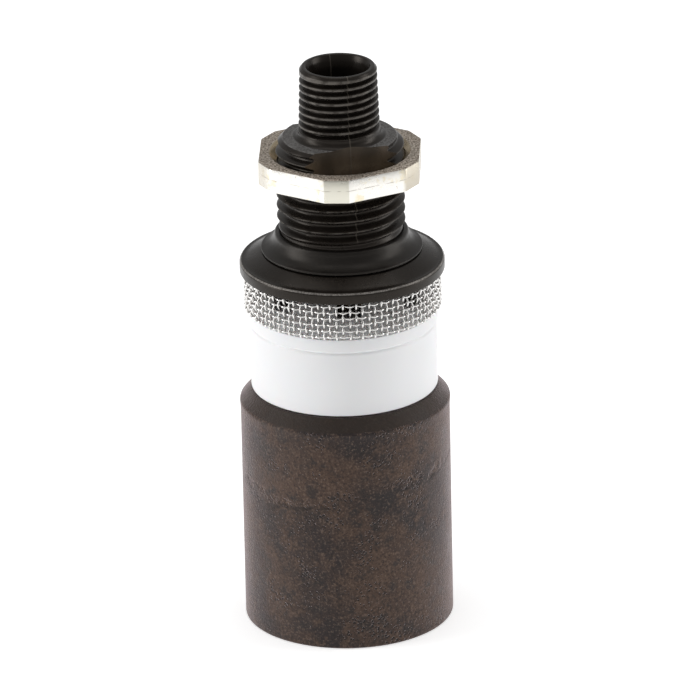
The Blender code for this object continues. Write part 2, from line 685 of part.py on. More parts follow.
def make_plate_screws(material):
    head_top = PLATE_BOTTOM - SEAT_GAP
    head_bottom = head_top - SCREW_HEAD_HEIGHT
    tip = FLANGE_BOTTOM + SCREW_BITE
    for number, place in enumerate(screw_places(), start=1):
        outline = [
            (0, head_bottom), (SCREW_HEAD_RADIUS - 0.2, head_bottom),
            (SCREW_HEAD_RADIUS, head_bottom + 0.2), (SCREW_HEAD_RADIUS, head_top),
            (SCREW_RADIUS, head_top), (SCREW_RADIUS, tip - SCREW_RADIUS / 2),
            (SCREW_RADIUS / 3, tip), (0, tip),
        ]
        name = f"plate_screw_{number}"
        screw = add_object(name, turned_mesh(name, outline, SMALL_ROUND, place), material)
        socket = [(x + place[0], y + place[1]) for x, y in polygon(6, SCREW_SOCKET_FLATS / 2)]
        combine(screw, extruded_mesh(
            name + "_socket", socket, head_bottom - OVERRUN, head_bottom + SCREW_SOCKET_DEPTH
        ))


def make_pilot_nozzle(material):
    pad_face = PIN_HEIGHT + LEVER_THICKNESS / 2 + FIT_GAP + PAD_HEAD
    tip = pad_face + FIT_GAP
    outline = [
        (NOZZLE_BORE_RADIUS, tip), (NOZZLE_TIP_RADIUS, tip), (NOZZLE_RADIUS, PLATE_BOTTOM - 0.3),
        (NOZZLE_RADIUS, PLATE_TOP), (NOZZLE_BORE_RADIUS, PLATE_TOP),
    ]
    mesh = turned_mesh("pilot_nozzle", outline, SMALL_ROUND, (LEVER_PIVOT - NOZZLE_DISTANCE, 0))
    add_object("pilot_nozzle", mesh, material)


def make_lever_pin(material):
    half = LEVER_HALF_GAP + EAR_THICKNESS + FIT_GAP
    outline = [
        (0, -half), (PIN_RADIUS, -half), (PIN_RADIUS, half), (PIN_RADIUS + PIN_HEAD, half),
        (PIN_RADIUS + PIN_HEAD, half + PIN_HEAD), (0, half + PIN_HEAD),
    ]
    edit = bmesh.new()
    add_turned(edit, outline, SMALL_ROUND)
    place = Matrix.Translation(Vector((LEVER_PIVOT, 0, PIN_HEIGHT)) * MM)
    bmesh.ops.transform(edit, verts=edit.verts, matrix=place @ Matrix.Rotation(math.pi / 2, 4, "X"))
    add_object("lever_pin", finish_mesh(edit, "lever_pin"), material)


def lever_outline():
    """Flat arm from the pivot at the origin towards -X, with an eye round the guide rod."""
    neck = math.asin(LEVER_HALF_WIDTH / LEVER_EYE_RADIUS)
    tip = -(LIFT_PIN_DISTANCE + LEVER_TAIL)
    steps = [neck + (math.pi - 2 * neck) * step / 8 for step in range(9)]
    side = [(0, LEVER_HALF_WIDTH)]
    side += [
        (-LEVER_PIVOT + LEVER_EYE_RADIUS * math.cos(angle), LEVER_EYE_RADIUS * math.sin(angle))
        for angle in steps
    ]
    side.append((tip, LEVER_HALF_WIDTH))
    return side + [(x, -y) for x, y in reversed(side)]


def make_pilot_lever(material, axis):
    """The lever's own frame has the pin's axis at its origin."""
    half = LEVER_THICKNESS / 2
    plate = extruded_mesh("pilot_lever", lever_outline(), -half, half)
    lever = add_object("pilot_lever", plate, material, axis)
    bore = PIN_RADIUS + FIT_GAP
    knuckle = cross_rod_mesh("lever_knuckle", bore + KNUCKLE_WALL, LEVER_HALF_WIDTH, (0, 0, 0))
    combine(lever, knuckle, "UNION")
    combine(lever, cross_rod_mesh("lever_pin_bore", bore, LEVER_HALF_WIDTH + OVERRUN, (0, 0, 0)))
    combine(lever, holes_mesh("lever_eye", [(-LEVER_PIVOT, 0)], LEVER_EYE_HOLE, -OVERRUN, OVERRUN))
    combine(lever, holes_mesh(
        "lever_pad_hole", [(-NOZZLE_DISTANCE, 0)], PAD_PLUG_RADIUS + FIT_GAP, -OVERRUN, OVERRUN
    ))
    slot = LIFT_PIN_NECK_RADIUS + SLIDE_GAP
    combine(lever, box_mesh(
        "lever_slot",
        (-LIFT_PIN_DISTANCE - LEVER_TAIL - OVERRUN, -slot, -OVERRUN),
        (slot - LIFT_PIN_DISTANCE, slot, OVERRUN),
    ))


def make_pilot_pad(material, axis):
    """Rubber plug snapped through the lever; its upper head closes the nozzle."""
    half = LEVER_THICKNESS / 2 + FIT_GAP
    outline = [
        (0, -half - PAD_HEAD), (PAD_RADIUS - 0.2, -half - PAD_HEAD), (PAD_RADIUS - 0.2, -half),
        (PAD_PLUG_RADIUS, -half), (PAD_PLUG_RADIUS, half), (PAD_RADIUS, half),
        (PAD_RADIUS, half + PAD_HEAD), (0, half + PAD_HEAD),
    ]
    mesh = turned_mesh("pilot_pad", outline, SMALL_ROUND, (-NOZZLE_DISTANCE, 0))
    add_object("pilot_pad", mesh, material, axis)


# ---------------------------------------------------------------- float and its guide

def make_guide_rod(material):
    groove = GUIDE_ROD_RADIUS - CLIP_GROOVE_DEPTH
    groove_low = CLIP_BOTTOM - FIT_GAP
    groove_high = CLIP_BOTTOM + CLIP_THICKNESS + FIT_GAP
    top = PLATE_TOP - PLATE_HOLE_FLOOR - SEAT_GAP
    outline = [
        (0, GUIDE_ROD_RECESS), (groove, GUIDE_ROD_RECESS),
        (GUIDE_ROD_RADIUS, GUIDE_ROD_RECESS + 0.2), (GUIDE_ROD_RADIUS, groove_low),
        (groove, groove_low), (groove, groove_high), (GUIDE_ROD_RADIUS, groove_high),
        (GUIDE_ROD_RADIUS, top), (0, top),
    ]
    add_object("guide_rod", turned_mesh("guide_rod", outline, SMALL_ROUND), material)


def make_rod_clip(material):
    inner = GUIDE_ROD_RADIUS - CLIP_GROOVE_DEPTH + FIT_GAP
    high = CLIP_BOTTOM + CLIP_THICKNESS
    ring = turned_mesh("rod_clip", ring_outline(inner, CLIP_RADIUS, CLIP_BOTTOM, high), 24)
    clip = add_object("rod_clip", ring, material)
    combine(clip, box_mesh(
        "clip_mouth", (-inner, -CLIP_RADIUS - OVERRUN, CLIP_BOTTOM - OVERRUN), (inner, 0, high + OVERRUN)
    ))


def make_float(material, axis):
    pocket_top = SLEEVE_BOTTOM + SLEEVE_FLANGE_THICKNESS + SEAT_GAP
    bore = SLEEVE_RADIUS + FIT_GAP
    rim = FLOAT_HEIGHT - FLOAT_CONE_HEIGHT
    outline = [
        (FLOAT_POCKET_RADIUS, 0),
        (FLOAT_RADIUS - 0.2, 0),
        (FLOAT_RADIUS, 0.2),
        (FLOAT_RADIUS, rim - 1.2),
        (FLOAT_RIM_RADIUS, rim),
        (BODY_RADIUS, FLOAT_HEIGHT),
        (bore, FLOAT_HEIGHT),
        (bore, pocket_top),
        (FLOAT_POCKET_RADIUS, pocket_top),
    ]
    block = add_object("float", turned_mesh("float", outline), material, axis)
    combine(block, holes_mesh(
        "float_pin_hole", [(LEVER_PIVOT - LIFT_PIN_DISTANCE, 0)], LIFT_PIN_RADIUS + FIT_GAP,
        FLOAT_HEIGHT - LIFT_PIN_DEPTH - SEAT_GAP, FLOAT_HEIGHT + OVERRUN,
    ))


def make_float_sleeve(material, axis):
    flange_top = SLEEVE_BOTTOM + SLEEVE_FLANGE_THICKNESS
    outline = [
        (SLEEVE_BORE_RADIUS, SLEEVE_BOTTOM), (SLEEVE_FLANGE_RADIUS, SLEEVE_BOTTOM),
        (SLEEVE_FLANGE_RADIUS, flange_top), (SLEEVE_RADIUS, flange_top),
        (SLEEVE_RADIUS, FLOAT_HEIGHT - SEAT_GAP), (SLEEVE_BORE_RADIUS, FLOAT_HEIGHT - SEAT_GAP),
    ]
    add_object("float_sleeve", turned_mesh("float_sleeve", outline, 24), material, axis)


def make_lift_pin(material, axis):
    """Headed pin in the float; the lever's forked end lies between its shoulder and its head."""
    shoulder = PIN_HEIGHT - LEVER_THICKNESS / 2 - LIFT_PIN_PLAY
    head = PIN_HEIGHT + LEVER_THICKNESS / 2 + LIFT_PIN_PLAY
    outline = [
        (0, FLOAT_HEIGHT - LIFT_PIN_DEPTH), (LIFT_PIN_RADIUS, FLOAT_HEIGHT - LIFT_PIN_DEPTH),
        (LIFT_PIN_RADIUS, shoulder), (LIFT_PIN_NECK_RADIUS, shoulder), (LIFT_PIN_NECK_RADIUS, head),
        (LIFT_PIN_HEAD_RADIUS, head), (LIFT_PIN_HEAD_RADIUS, head + LIFT_PIN_HEAD_HEIGHT),
        (0, head + LIFT_PIN_HEAD_HEIGHT),
    ]
    mesh = turned_mesh("lift_pin", outline, SMALL_ROUND, (LEVER_PIVOT - LIFT_PIN_DISTANCE, 0))
    add_object("lift_pin", mesh, material, axis)


# ---------------------------------------------------------------- assembly

def main():
    for old in list(bpy.data.objects):
        bpy.data.objects.remove(old)

    def black_nylon(piece):
        return make_material(piece + "_black_nylon", (0.018, 0.018, 0.019), 0.42)

    def white_acetal(piece):
        return make_material(piece + "_white_acetal", (0.82, 0.82, 0.80), 0.35)

    def black_rubber(piece):
        return make_material(piece + "_black_rubber", (0.02, 0.02, 0.02), 0.6)

    def brass(piece):
        return make_material(piece + "_brass", (0.72, 0.55, 0.28), 0.3, 1.0)

    def steel(piece):
        return make_material(piece + "_stainless_steel", (0.62, 0.61, 0.59), 0.28, 1.0)

    make_outlet_stem(black_nylon("stem"))
    make_bowl_gasket(black_rubber("gasket"))
    make_drain_body(white_acetal("body"))
    make_inlet_screen(steel("screen"))
    make_pilot_plate(white_acetal("plate"))
    make_plate_ring(black_rubber("plate_ring"))
    make_plate_screws(steel("screws"))
    make_pilot_nozzle(brass("nozzle"))
    make_lever_pin(steel("lever_pin"))
    make_guide_rod(steel("guide_rod"))
    make_rod_clip(steel("rod_clip"))
    make_piston_spring(steel("spring"))

    nut_axis = add_axis("jam_nut_axis")
    make_jam_nut(make_material("nut_nickel_plate", (0.80, 0.77, 0.70), 0.22, 1.0), nut_axis)

    piston_axis = add_axis("piston_axis")
    make_piston(white_acetal("piston"), piston_axis)
    make_piston_seal(black_rubber("piston_seal"), piston_axis)
    make_valve_spindle(brass("spindle"), piston_axis)
    make_bleed_jet(brass("jet"), piston_axis)
    make_hex_nut(
        "piston_nut", PISTON_NUT_FLATS, SPINDLE_END_RADIUS + FIT_GAP,
        SPINDLE_BOTTOM, SPINDLE_BOTTOM + PISTON_NUT_THICKNESS, brass("piston_nut"), piston_axis,
    )
    make_valve_seal(black_rubber("valve_seal"), piston_axis)
    make_hex_nut(
        "valve_nut", VALVE_NUT_FLATS, SPINDLE_TOP_RADIUS + FIT_GAP,
        VALVE_NUT_BOTTOM, VALVE_NUT_TOP, brass("valve_nut"), piston_axis,
    )

    lever_axis = add_axis("pilot_lever_axis", (LEVER_PIVOT, 0, PIN_HEIGHT))
    make_pilot_lever(steel("lever"), lever_axis)
    make_pilot_pad(black_rubber("pad"), lever_axis)

    float_axis = add_axis("float_axis")
    make_float(make_material("float_foam_rubber", (0.085, 0.045, 0.032), 0.62), float_axis)
    make_float_sleeve(white_acetal("sleeve"), float_axis)
    make_lift_pin(steel("lift_pin"), float_axis)


main()
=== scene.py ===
# %% [markdown]
# # Float drain for a compressed-air filter bowl
#
# The drain stands on its float with the outlet up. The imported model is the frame: every piece here
# takes its place from it, rides on one of its bodies, and is drawn in millimetres, then scaled to metres.

# %% Load the frame
import math

import bmesh
import bpy
import numpy as np
from mathutils import Matrix, Vector


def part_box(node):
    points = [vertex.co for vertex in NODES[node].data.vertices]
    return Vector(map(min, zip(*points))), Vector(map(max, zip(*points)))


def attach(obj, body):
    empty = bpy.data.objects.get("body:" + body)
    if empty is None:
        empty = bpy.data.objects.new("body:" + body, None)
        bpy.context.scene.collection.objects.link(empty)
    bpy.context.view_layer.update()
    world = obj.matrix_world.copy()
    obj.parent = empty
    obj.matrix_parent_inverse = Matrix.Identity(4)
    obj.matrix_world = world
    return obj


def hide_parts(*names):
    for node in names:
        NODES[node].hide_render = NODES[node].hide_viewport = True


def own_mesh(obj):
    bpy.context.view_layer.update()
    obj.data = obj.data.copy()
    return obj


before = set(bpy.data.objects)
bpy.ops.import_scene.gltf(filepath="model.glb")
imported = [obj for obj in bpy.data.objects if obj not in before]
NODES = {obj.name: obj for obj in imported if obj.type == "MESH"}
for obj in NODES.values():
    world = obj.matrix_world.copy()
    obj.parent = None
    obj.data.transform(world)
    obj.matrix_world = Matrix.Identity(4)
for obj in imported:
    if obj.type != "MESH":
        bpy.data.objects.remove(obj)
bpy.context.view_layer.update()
MM = 0.001


def height_of(node):
    """(lowest, highest) point of a solid, in millimetres."""
    low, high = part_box(node)
    return low[2] / MM, high[2] / MM


STEM_LOW, STEM_HIGH = height_of("outlet_stem")
GASKET_LOW, GASKET_HIGH = height_of("bowl_gasket")
NUT_LOW, NUT_HIGH = height_of("jam_nut")
BODY_LOW, BODY_HIGH = height_of("drain_body")
SCREEN_LOW, SCREEN_HIGH = height_of("inlet_screen")
FLOAT_HIGH = height_of("float")[1]
print("stem", round(STEM_LOW, 2), round(STEM_HIGH, 2))
print("nut", round(NUT_LOW, 2), "float", round(FLOAT_HIGH, 2))

# %% [markdown]
# ## Surfaces
#
# Nearly every piece of a drain is turned or moulded round, so a piece is a few sheets of points with
# rows along its outline and columns round its axis. Sheets that share an edge are welded, which closes
# seams and poles, and corners are rounded in the outline, as a mould's or a lathe tool's are.

# %% Outline and sheet helpers
def rounded(outline, steps=5):
    """Round the corners of (radius, height, reach) points.

    A corner gives way to a parabola that leaves its sides at that reach from it.
    """
    points = np.array(outline, float)[:, :2]
    line = []
    for place, (_, _, reach) in enumerate(outline):
        here = points[place]
        if reach == 0 or place in (0, len(points) - 1):
            line.append(here[None])
            continue
        ends = []
        for other in (points[place - 1], points[place + 1]):
            side = other - here
            length = np.linalg.norm(side)
            ends.append(here + side / length * min(reach, 0.49 * length))
        t = np.linspace(0, 1, steps)[:, None]
        line.append((1 - t) ** 2 * ends[0] + 2 * t * (1 - t) * here + t ** 2 * ends[1])
    return np.concatenate(line)


def spun(outline, angles):
    """Sheet of an outline turned through the angles: (radius cos, radius sin, height)."""
    radius, height = np.asarray(outline, float)[:, :2].T[:, :, None]
    return np.stack([radius * np.cos(angles), radius * np.sin(angles), height + 0 * angles], axis=-1)


def round_angles(columns):
    return np.linspace(0, 2 * math.pi, columns + 1)


def faces_of(sheet, first):
    """Four corners of each cell of a sheet whose first point has the index first."""
    rows, columns = sheet.shape[:2]
    index = first + np.arange(rows * columns).reshape(rows, columns)
    corners = [index[:-1, :-1], index[:-1, 1:], index[1:, 1:], index[1:, :-1]]
    return np.stack(corners, axis=-1).reshape(-1, 4)


def welded(sheets):
    """One list of points and their faces: points that share a place become one, and empty faces go."""
    points = np.concatenate([sheet.reshape(-1, 3) for sheet in sheets])
    firsts = np.cumsum([0] + [sheet.shape[0] * sheet.shape[1] for sheet in sheets])
    quads = np.concatenate([faces_of(sheet, first) for sheet, first in zip(sheets, firsts)])
    cells = np.round(points * 1e4).astype(np.int64)
    _, keep, index = np.unique(cells, axis=0, return_index=True, return_inverse=True)
    quads = index.reshape(-1)[quads]
    same = quads == np.roll(quads, -1, axis=1)
    across = (quads[:, 0] == quads[:, 2]) | (quads[:, 1] == quads[:, 3])
    faces = [quads[(same.sum(axis=1) == 0) & ~across]]
    for corner in range(4):
        single = quads[(same.sum(axis=1) == 1) & same[:, corner] & ~across]
        faces.append(np.delete(single, corner, axis=1))
    return points[keep], faces


def make_mesh(name, points, faces, sharp=32):
    """Mesh in metres from points in millimetres, with outward normals and edges sharp over this angle."""
    mesh = bpy.data.meshes.new(name)
    corners = np.concatenate([part.reshape(-1) for part in faces])
    sizes = np.concatenate([np.full(len(part), part.shape[1]) for part in faces])
    mesh.vertices.add(len(points))
    mesh.vertices.foreach_set("co", (points * MM).reshape(-1))
    mesh.loops.add(len(corners))
    mesh.loops.foreach_set("vertex_index", corners.astype(np.int32))
    mesh.polygons.add(len(sizes))
    mesh.polygons.foreach_set("loop_start", (np.cumsum(sizes) - sizes).astype(np.int32))
    mesh.update(calc_edges=True)
    mesh.validate()
    finish_mesh(mesh, sharp)
    return mesh


def finish_mesh(mesh, sharp):
    edit = bmesh.new()
    edit.from_mesh(mesh)
    bmesh.ops.recalc_face_normals(edit, faces=edit.faces)
    edit.to_mesh(mesh)
    edit.free()
    mesh.shade_smooth()
    mesh.set_sharp_from_angle(angle=math.radians(sharp))


def cut(mesh, tool, sharp=32):
    """The mesh less the tool, as an exact Boolean."""
    pieces = [bpy.data.objects.new(part.name, part) for part in (mesh, tool)]
    for piece in pieces:
        bpy.context.scene.collection.objects.link(piece)
    modifier = pieces[0].modifiers.new("cut", "BOOLEAN")
    modifier.operation, modifier.solver, modifier.object = "DIFFERENCE", "EXACT", pieces[1]
    bpy.context.view_layer.update()
    result = bpy.data.meshes.new_from_object(pieces[0].evaluated_get(bpy.context.evaluated_depsgraph_get()))
    for piece in pieces:
        bpy.data.objects.remove(piece)
    finish_mesh(result, sharp)
    return result


def boxes_mesh(name, boxes):
    """Boxes given as (low corner, high corner, turn about the axis in radians)."""
    edit = bmesh.new()
    for low, high, turn in boxes:
        middle = (Vector(low) + Vector(high)) / 2 * MM
        sides = (Vector(high) - Vector(low)) * MM
        upright = Matrix.Translation(middle) @ Matrix.Diagonal((*sides, 1))
        bmesh.ops.create_cube(edit, size=1, matrix=Matrix.Rotation(turn, 4, "Z") @ upright)
    mesh = bpy.data.meshes.new(name)
    edit.to_mesh(mesh)
    edit.free()
    return mesh


def rods_mesh(name, rods, columns=32):
    """Upright round rods given as (x, y, radius, low, high)."""
    edit = bmesh.new()
    for x, y, radius, low, high in rods:
        bmesh.ops.create_cone(
            edit, cap_ends=True, segments=columns, radius1=radius * MM, radius2=radius * MM,
            depth=(high - low) * MM, matrix=Matrix.Translation(Vector((x, y, (low + high) / 2)) * MM),
        )
    mesh = bpy.data.meshes.new(name)
    edit.to_mesh(mesh)
    edit.free()
    return mesh


def add_piece(name, mesh, material, body, slot, *nodes):
    piece = bpy.data.objects.new(name, mesh)
    mesh.name = name
    mesh.materials.clear()
    mesh.materials.append(material)
    bpy.context.scene.collection.objects.link(piece)
    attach(piece, body)
    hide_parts(*nodes)
    print(name, len(mesh.vertices), "points", len(mesh.polygons), "faces")
    return piece


# %% [markdown]
# ## Materials
#
# Each material is made of noise and masks in the piece's own coordinates, in metres. The small helpers
# below place a node and wire its inputs. Two shared groups give a fine surface grain and a thin line
# round or along a piece.

# %% Node helpers
def put(tree, kind, inputs=None, **settings):
    """Add a node, set its properties, and wire or set its inputs by name or number."""
    made = tree.nodes.new(kind)
    for key, value in settings.items():
        setattr(made, key, value)
    for key, value in (inputs or {}).items():
        if isinstance(value, bpy.types.NodeSocket):
            tree.links.new(value, made.inputs[key])
        else:
            made.inputs[key].default_value = value
    return made


def maths(tree, operation, *values):
    return put(tree, "ShaderNodeMath", dict(enumerate(values)), operation=operation).outputs[0]


def times(tree, first, second):
    return maths(tree, "MULTIPLY", first, second)


def plus(tree, first, second):
    return maths(tree, "ADD", first, second)


def minus(tree, first, second):
    return maths(tree, "SUBTRACT", first, second)


def size_of(tree, value):
    return maths(tree, "ABSOLUTE", value)


def ramp(tree, value, low, high, to_low=0.0, to_high=1.0):
    """Value mapped from low..high to to_low..to_high and held there."""
    return put(
        tree, "ShaderNodeMapRange",
        {"Value": value, "From Min": low, "From Max": high, "To Min": to_low, "To Max": to_high},
        interpolation_type="SMOOTHSTEP",
    ).outputs["Result"]


def noise(tree, where, scale, detail=3.0, roughness=0.5):
    return put(
        tree, "ShaderNodeTexNoise",
        {"Vector": where, "Scale": scale, "Detail": detail, "Roughness": roughness},
    ).outputs["Fac"]


def mixed(tree, factor, first, second):
    """Colour first where factor is 0, second where it is 1. A plain colour is three numbers."""
    made = put(tree, "ShaderNodeMix", {"Factor": factor}, data_type="RGBA")
    for socket, colour in ((made.inputs[6], first), (made.inputs[7], second)):
        if isinstance(colour, bpy.types.NodeSocket):
            tree.links.new(colour, socket)
        else:
            socket.default_value = (*colour, 1.0)
    return made.outputs[2]


def place_nodes(tree):
    """Object coordinates: the vector, its parts, and the distance from the upright axis."""
    where = put(tree, "ShaderNodeTexCoord").outputs["Object"]
    parts = put(tree, "ShaderNodeSeparateXYZ", {0: where}).outputs
    x, y, z = parts[0], parts[1], parts[2]
    radius = maths(tree, "SQRT", plus(tree, times(tree, x, x), times(tree, y, y)))
    return where, x, y, z, radius


def stretched(tree, where, scales):
    return put(tree, "ShaderNodeVectorMath", {0: where, 1: scales}, operation="MULTIPLY").outputs[0]


def new_group(name, inputs, output):
    group = bpy.data.node_groups.new(name, "ShaderNodeTree")
    for label, kind in inputs:
        group.interface.new_socket(label, in_out="INPUT", socket_type=kind)
    group.interface.new_socket(output, in_out="OUTPUT", socket_type="NodeSocketFloat")
    return group, group.nodes.new("NodeGroupInput"), group.nodes.new("NodeGroupOutput")


def make_grain_group():
    """Height of a fine moulded or ground grain: two noises of different size."""
    inputs = [("Vector", "NodeSocketVector"), ("Scale", "NodeSocketFloat")]
    group, given, result = new_group("surface_grain", inputs, "Height")
    where, scale = given.outputs[0], given.outputs[1]
    fine = noise(group, where, scale, 4.0)
    broad = noise(group, where, times(group, scale, 0.18), 2.0)
    height = plus(group, times(group, fine, 0.35), times(group, broad, 0.65))
    group.links.new(height, result.inputs[0])
    return group


def make_line_group():
    """1 on a thin line where Value is 0, falling to 0 at Width away."""
    inputs = [("Value", "NodeSocketFloat"), ("Width", "NodeSocketFloat")]
    group, given, result = new_group("thin_line", inputs, "Mask")
    away = maths(group, "DIVIDE", size_of(group, given.outputs[0]), given.outputs[1])
    group.links.new(ramp(group, away, 0.35, 1.0, 1.0, 0.0), result.inputs[0])
    return group


GRAIN = make_grain_group()
LINE = make_line_group()


def grain(tree, where, scale):
    return put(tree, "ShaderNodeGroup", {"Vector": where, "Scale": scale}, node_tree=GRAIN).outputs[0]


def thin_line(tree, value, width):
    return put(tree, "ShaderNodeGroup", {"Value": value, "Width": width}, node_tree=LINE).outputs[0]


def new_material(name):
    material = bpy.data.materials.new(name)
    material.use_nodes = True
    tree = material.node_tree
    return material, tree, tree.nodes["Principled BSDF"]


def wire(tree, shader, colour=None, roughness=None, height=None, distance=None, strength=1.0, **uniform):
    """Link colour, roughness and a bump to the shader, and set its uniform sockets."""
    for socket, value in (("Base Color", colour), ("Roughness", roughness)):
        if isinstance(value, bpy.types.NodeSocket):
            tree.links.new(value, shader.inputs[socket])
        elif value is not None:
            shader.inputs[socket].default_value = value
    if height is not None:
        bump = put(tree, "ShaderNodeBump", {"Height": height, "Distance": distance, "Strength": strength})
        tree.links.new(bump.outputs[0], shader.inputs["Normal"])
    for label, value in uniform.items():
        shader.inputs[label.replace("_", " ")].default_value = value


# %% [markdown]
# ### Black nylon of the stem
#
# The stem is injection moulded in a two-part mould, so a fine parting line runs down both threads and
# across the flats. The flats are smoother and carry a painted warm grey-brown reflection, the shoulder
# between the threads is rougher and speckled with pale filler, and crests and rim carry painted pale
# highlights.

# %% Black nylon
PARTING = math.radians(14.5)
STUB_CREST = 4.83            # radius of the stub's thread at the height of the crest below
STUB_CREST_HEIGHT = 70.98
FLAT_DISTANCE = 5.35
SHOULDER_FACE = 63.4
FLANGE_RIM = STEM_LOW + 1.30


def make_black_nylon():
    material, tree, shader = new_material("black_nylon")
    where, x, y, z, radius = place_nodes(tree)
    along = plus(tree, times(tree, x, math.sin(PARTING)), times(tree, y, -math.cos(PARTING)))
    across = plus(tree, times(tree, x, math.cos(PARTING)), times(tree, y, math.sin(PARTING)))
    wander = times(tree, minus(tree, noise(tree, where, 300), 0.5), 0.00006)
    parting = thin_line(tree, plus(tree, across, wander), 0.00009)
    parting = times(tree, parting, ramp(tree, z, 0.0518, 0.0522))
    flat = thin_line(tree, minus(tree, size_of(tree, along), FLAT_DISTANCE * MM), 0.00003)
    flat = times(tree, flat, ramp(tree, z, 0.0590, 0.0594))
    face = thin_line(tree, minus(tree, z, SHOULDER_FACE * MM), 0.00012)
    face = times(tree, face, ramp(tree, radius, 0.0054, 0.0058))
    speckle = ramp(tree, noise(tree, where, 5200, 2), 0.36, 0.62, 0.35, 1.0)
    cloud = noise(tree, where, 450, 4)
    colour = mixed(tree, cloud, (0.0065, 0.0052, 0.0044), (0.0130, 0.0102, 0.0082))
    # Painted highlights: thin pale lines on the thread crests and along the flange rim, where the outline
    # stands out furthest
    shank_crest = ramp(tree, radius, 0.00783, 0.00792)
    shank_crest = times(tree, shank_crest, ramp(tree, radius, 0.0082, 0.0083, 1.0, 0.0))
    taper = times(tree, minus(tree, STUB_CREST_HEIGHT * MM, z), 1 / 32)
    above_crest = minus(tree, radius, plus(tree, taper, STUB_CREST * MM))
    stub_crest = times(tree, ramp(tree, above_crest, -0.00007, -0.00001), ramp(tree, z, 0.0646, 0.0649))
    rim = thin_line(tree, minus(tree, z, FLANGE_RIM * MM), 0.00013)
    rim = times(tree, rim, ramp(tree, radius, 0.01240, 0.01255))
    crest_highlight = maths(tree, "MAXIMUM", shank_crest, stub_crest)
    crest_highlight = times(tree, crest_highlight, ramp(tree, noise(tree, where, 900, 3), 0.36, 0.60, 0.25, 1.0))
    colour = mixed(tree, crest_highlight, colour, (0.095, 0.087, 0.078))
    # Painted highlight: a pale line along the flange rim
    colour = mixed(tree, times(tree, rim, speckle), colour, (0.230, 0.215, 0.200))
    colour = mixed(tree, times(tree, face, speckle), colour, (0.150, 0.146, 0.142))
    # Painted warm grey-brown reflection on the flats, lighter in streaks
    reflection_streak = ramp(tree, noise(tree, stretched(tree, where, (1, 1, 0.5)), 260, 2), 0.35, 0.7)
    flat_reflection = mixed(tree, reflection_streak, (0.034, 0.026, 0.019), (0.098, 0.075, 0.055))
    colour = mixed(tree, flat, colour, flat_reflection)
    colour = mixed(tree, times(tree, parting, 0.75), colour, (0.085, 0.074, 0.062))
    rough = ramp(tree, cloud, 0.3, 0.7, 0.24, 0.34)
    rough = plus(tree, rough, times(tree, face, 0.22))
    height = plus(tree, grain(tree, where, 2600), times(tree, parting, 0.7))
    wire(
        tree, shader, colour, rough, height, 0.00004, 0.40, Specular_IOR_Level=0.27,
        Specular_Tint=(1.0, 0.90, 0.80, 1.0),
    )
    return material


# %% [markdown]
# ### Rubber, acetal and metals

# %% Rubber, acetal and metals
def make_rubber(name, colour, second, roughness):
    material, tree, shader = new_material(name)
    where = place_nodes(tree)[0]
    cloud = noise(tree, where, 320, 4)
    rough = ramp(tree, cloud, 0.3, 0.7, roughness - 0.06, roughness + 0.06)
    wire(
        tree, shader, mixed(tree, cloud, colour, second), rough, grain(tree, where, 1900), 0.00005, 0.5,
        Specular_IOR_Level=0.30, Specular_Tint=(1.0, 0.92, 0.84, 1.0),
    )
    return material


def make_white_acetal():
    """Milk-white moulding with a faint silky unevenness, and painted shade on the neck behind the screen.
    """
    material, tree, shader = new_material("white_acetal")
    where, x, y, z, radius = place_nodes(tree)
    cloud = noise(tree, stretched(tree, where, (1, 1, 0.4)), 140, 3)
    neck = times(tree, ramp(tree, z, 0.04100, 0.04115), ramp(tree, radius, 0.01148, 0.01152, 1.0, 0.0))
    colour = mixed(tree, cloud, (0.78, 0.785, 0.80), (0.84, 0.84, 0.845))
    # Painted shade on the neck behind the screen, deeper towards the flange
    neck_painted_shade = times(tree, neck, ramp(tree, z, 0.0413, 0.0450, 0.45, 0.92))
    colour = mixed(tree, neck_painted_shade, colour, (0.25, 0.24, 0.235))
    rough = ramp(tree, cloud, 0.3, 0.7, 0.30, 0.42)
    wire(
        tree, shader, colour, rough, grain(tree, where, 1400), 0.00003, 0.35,
        Specular_IOR_Level=0.5, Subsurface_Weight=0.08, Subsurface_Scale=0.001,
    )
    return material


def make_metal(name, colour, second, low, high, scale=1200, strength=0.35):
    """Metal whose tint and polish change a little from place to place, with a fine grain."""
    material, tree, shader = new_material(name)
    where = place_nodes(tree)[0]
    cloud = noise(tree, where, scale * 0.3, 4)
    wire(
        tree, shader, mixed(tree, cloud, colour, second), ramp(tree, cloud, 0.3, 0.7, low, high),
        grain(tree, where, scale * 2), 0.00003, strength, Metallic=1.0,
    )
    return material
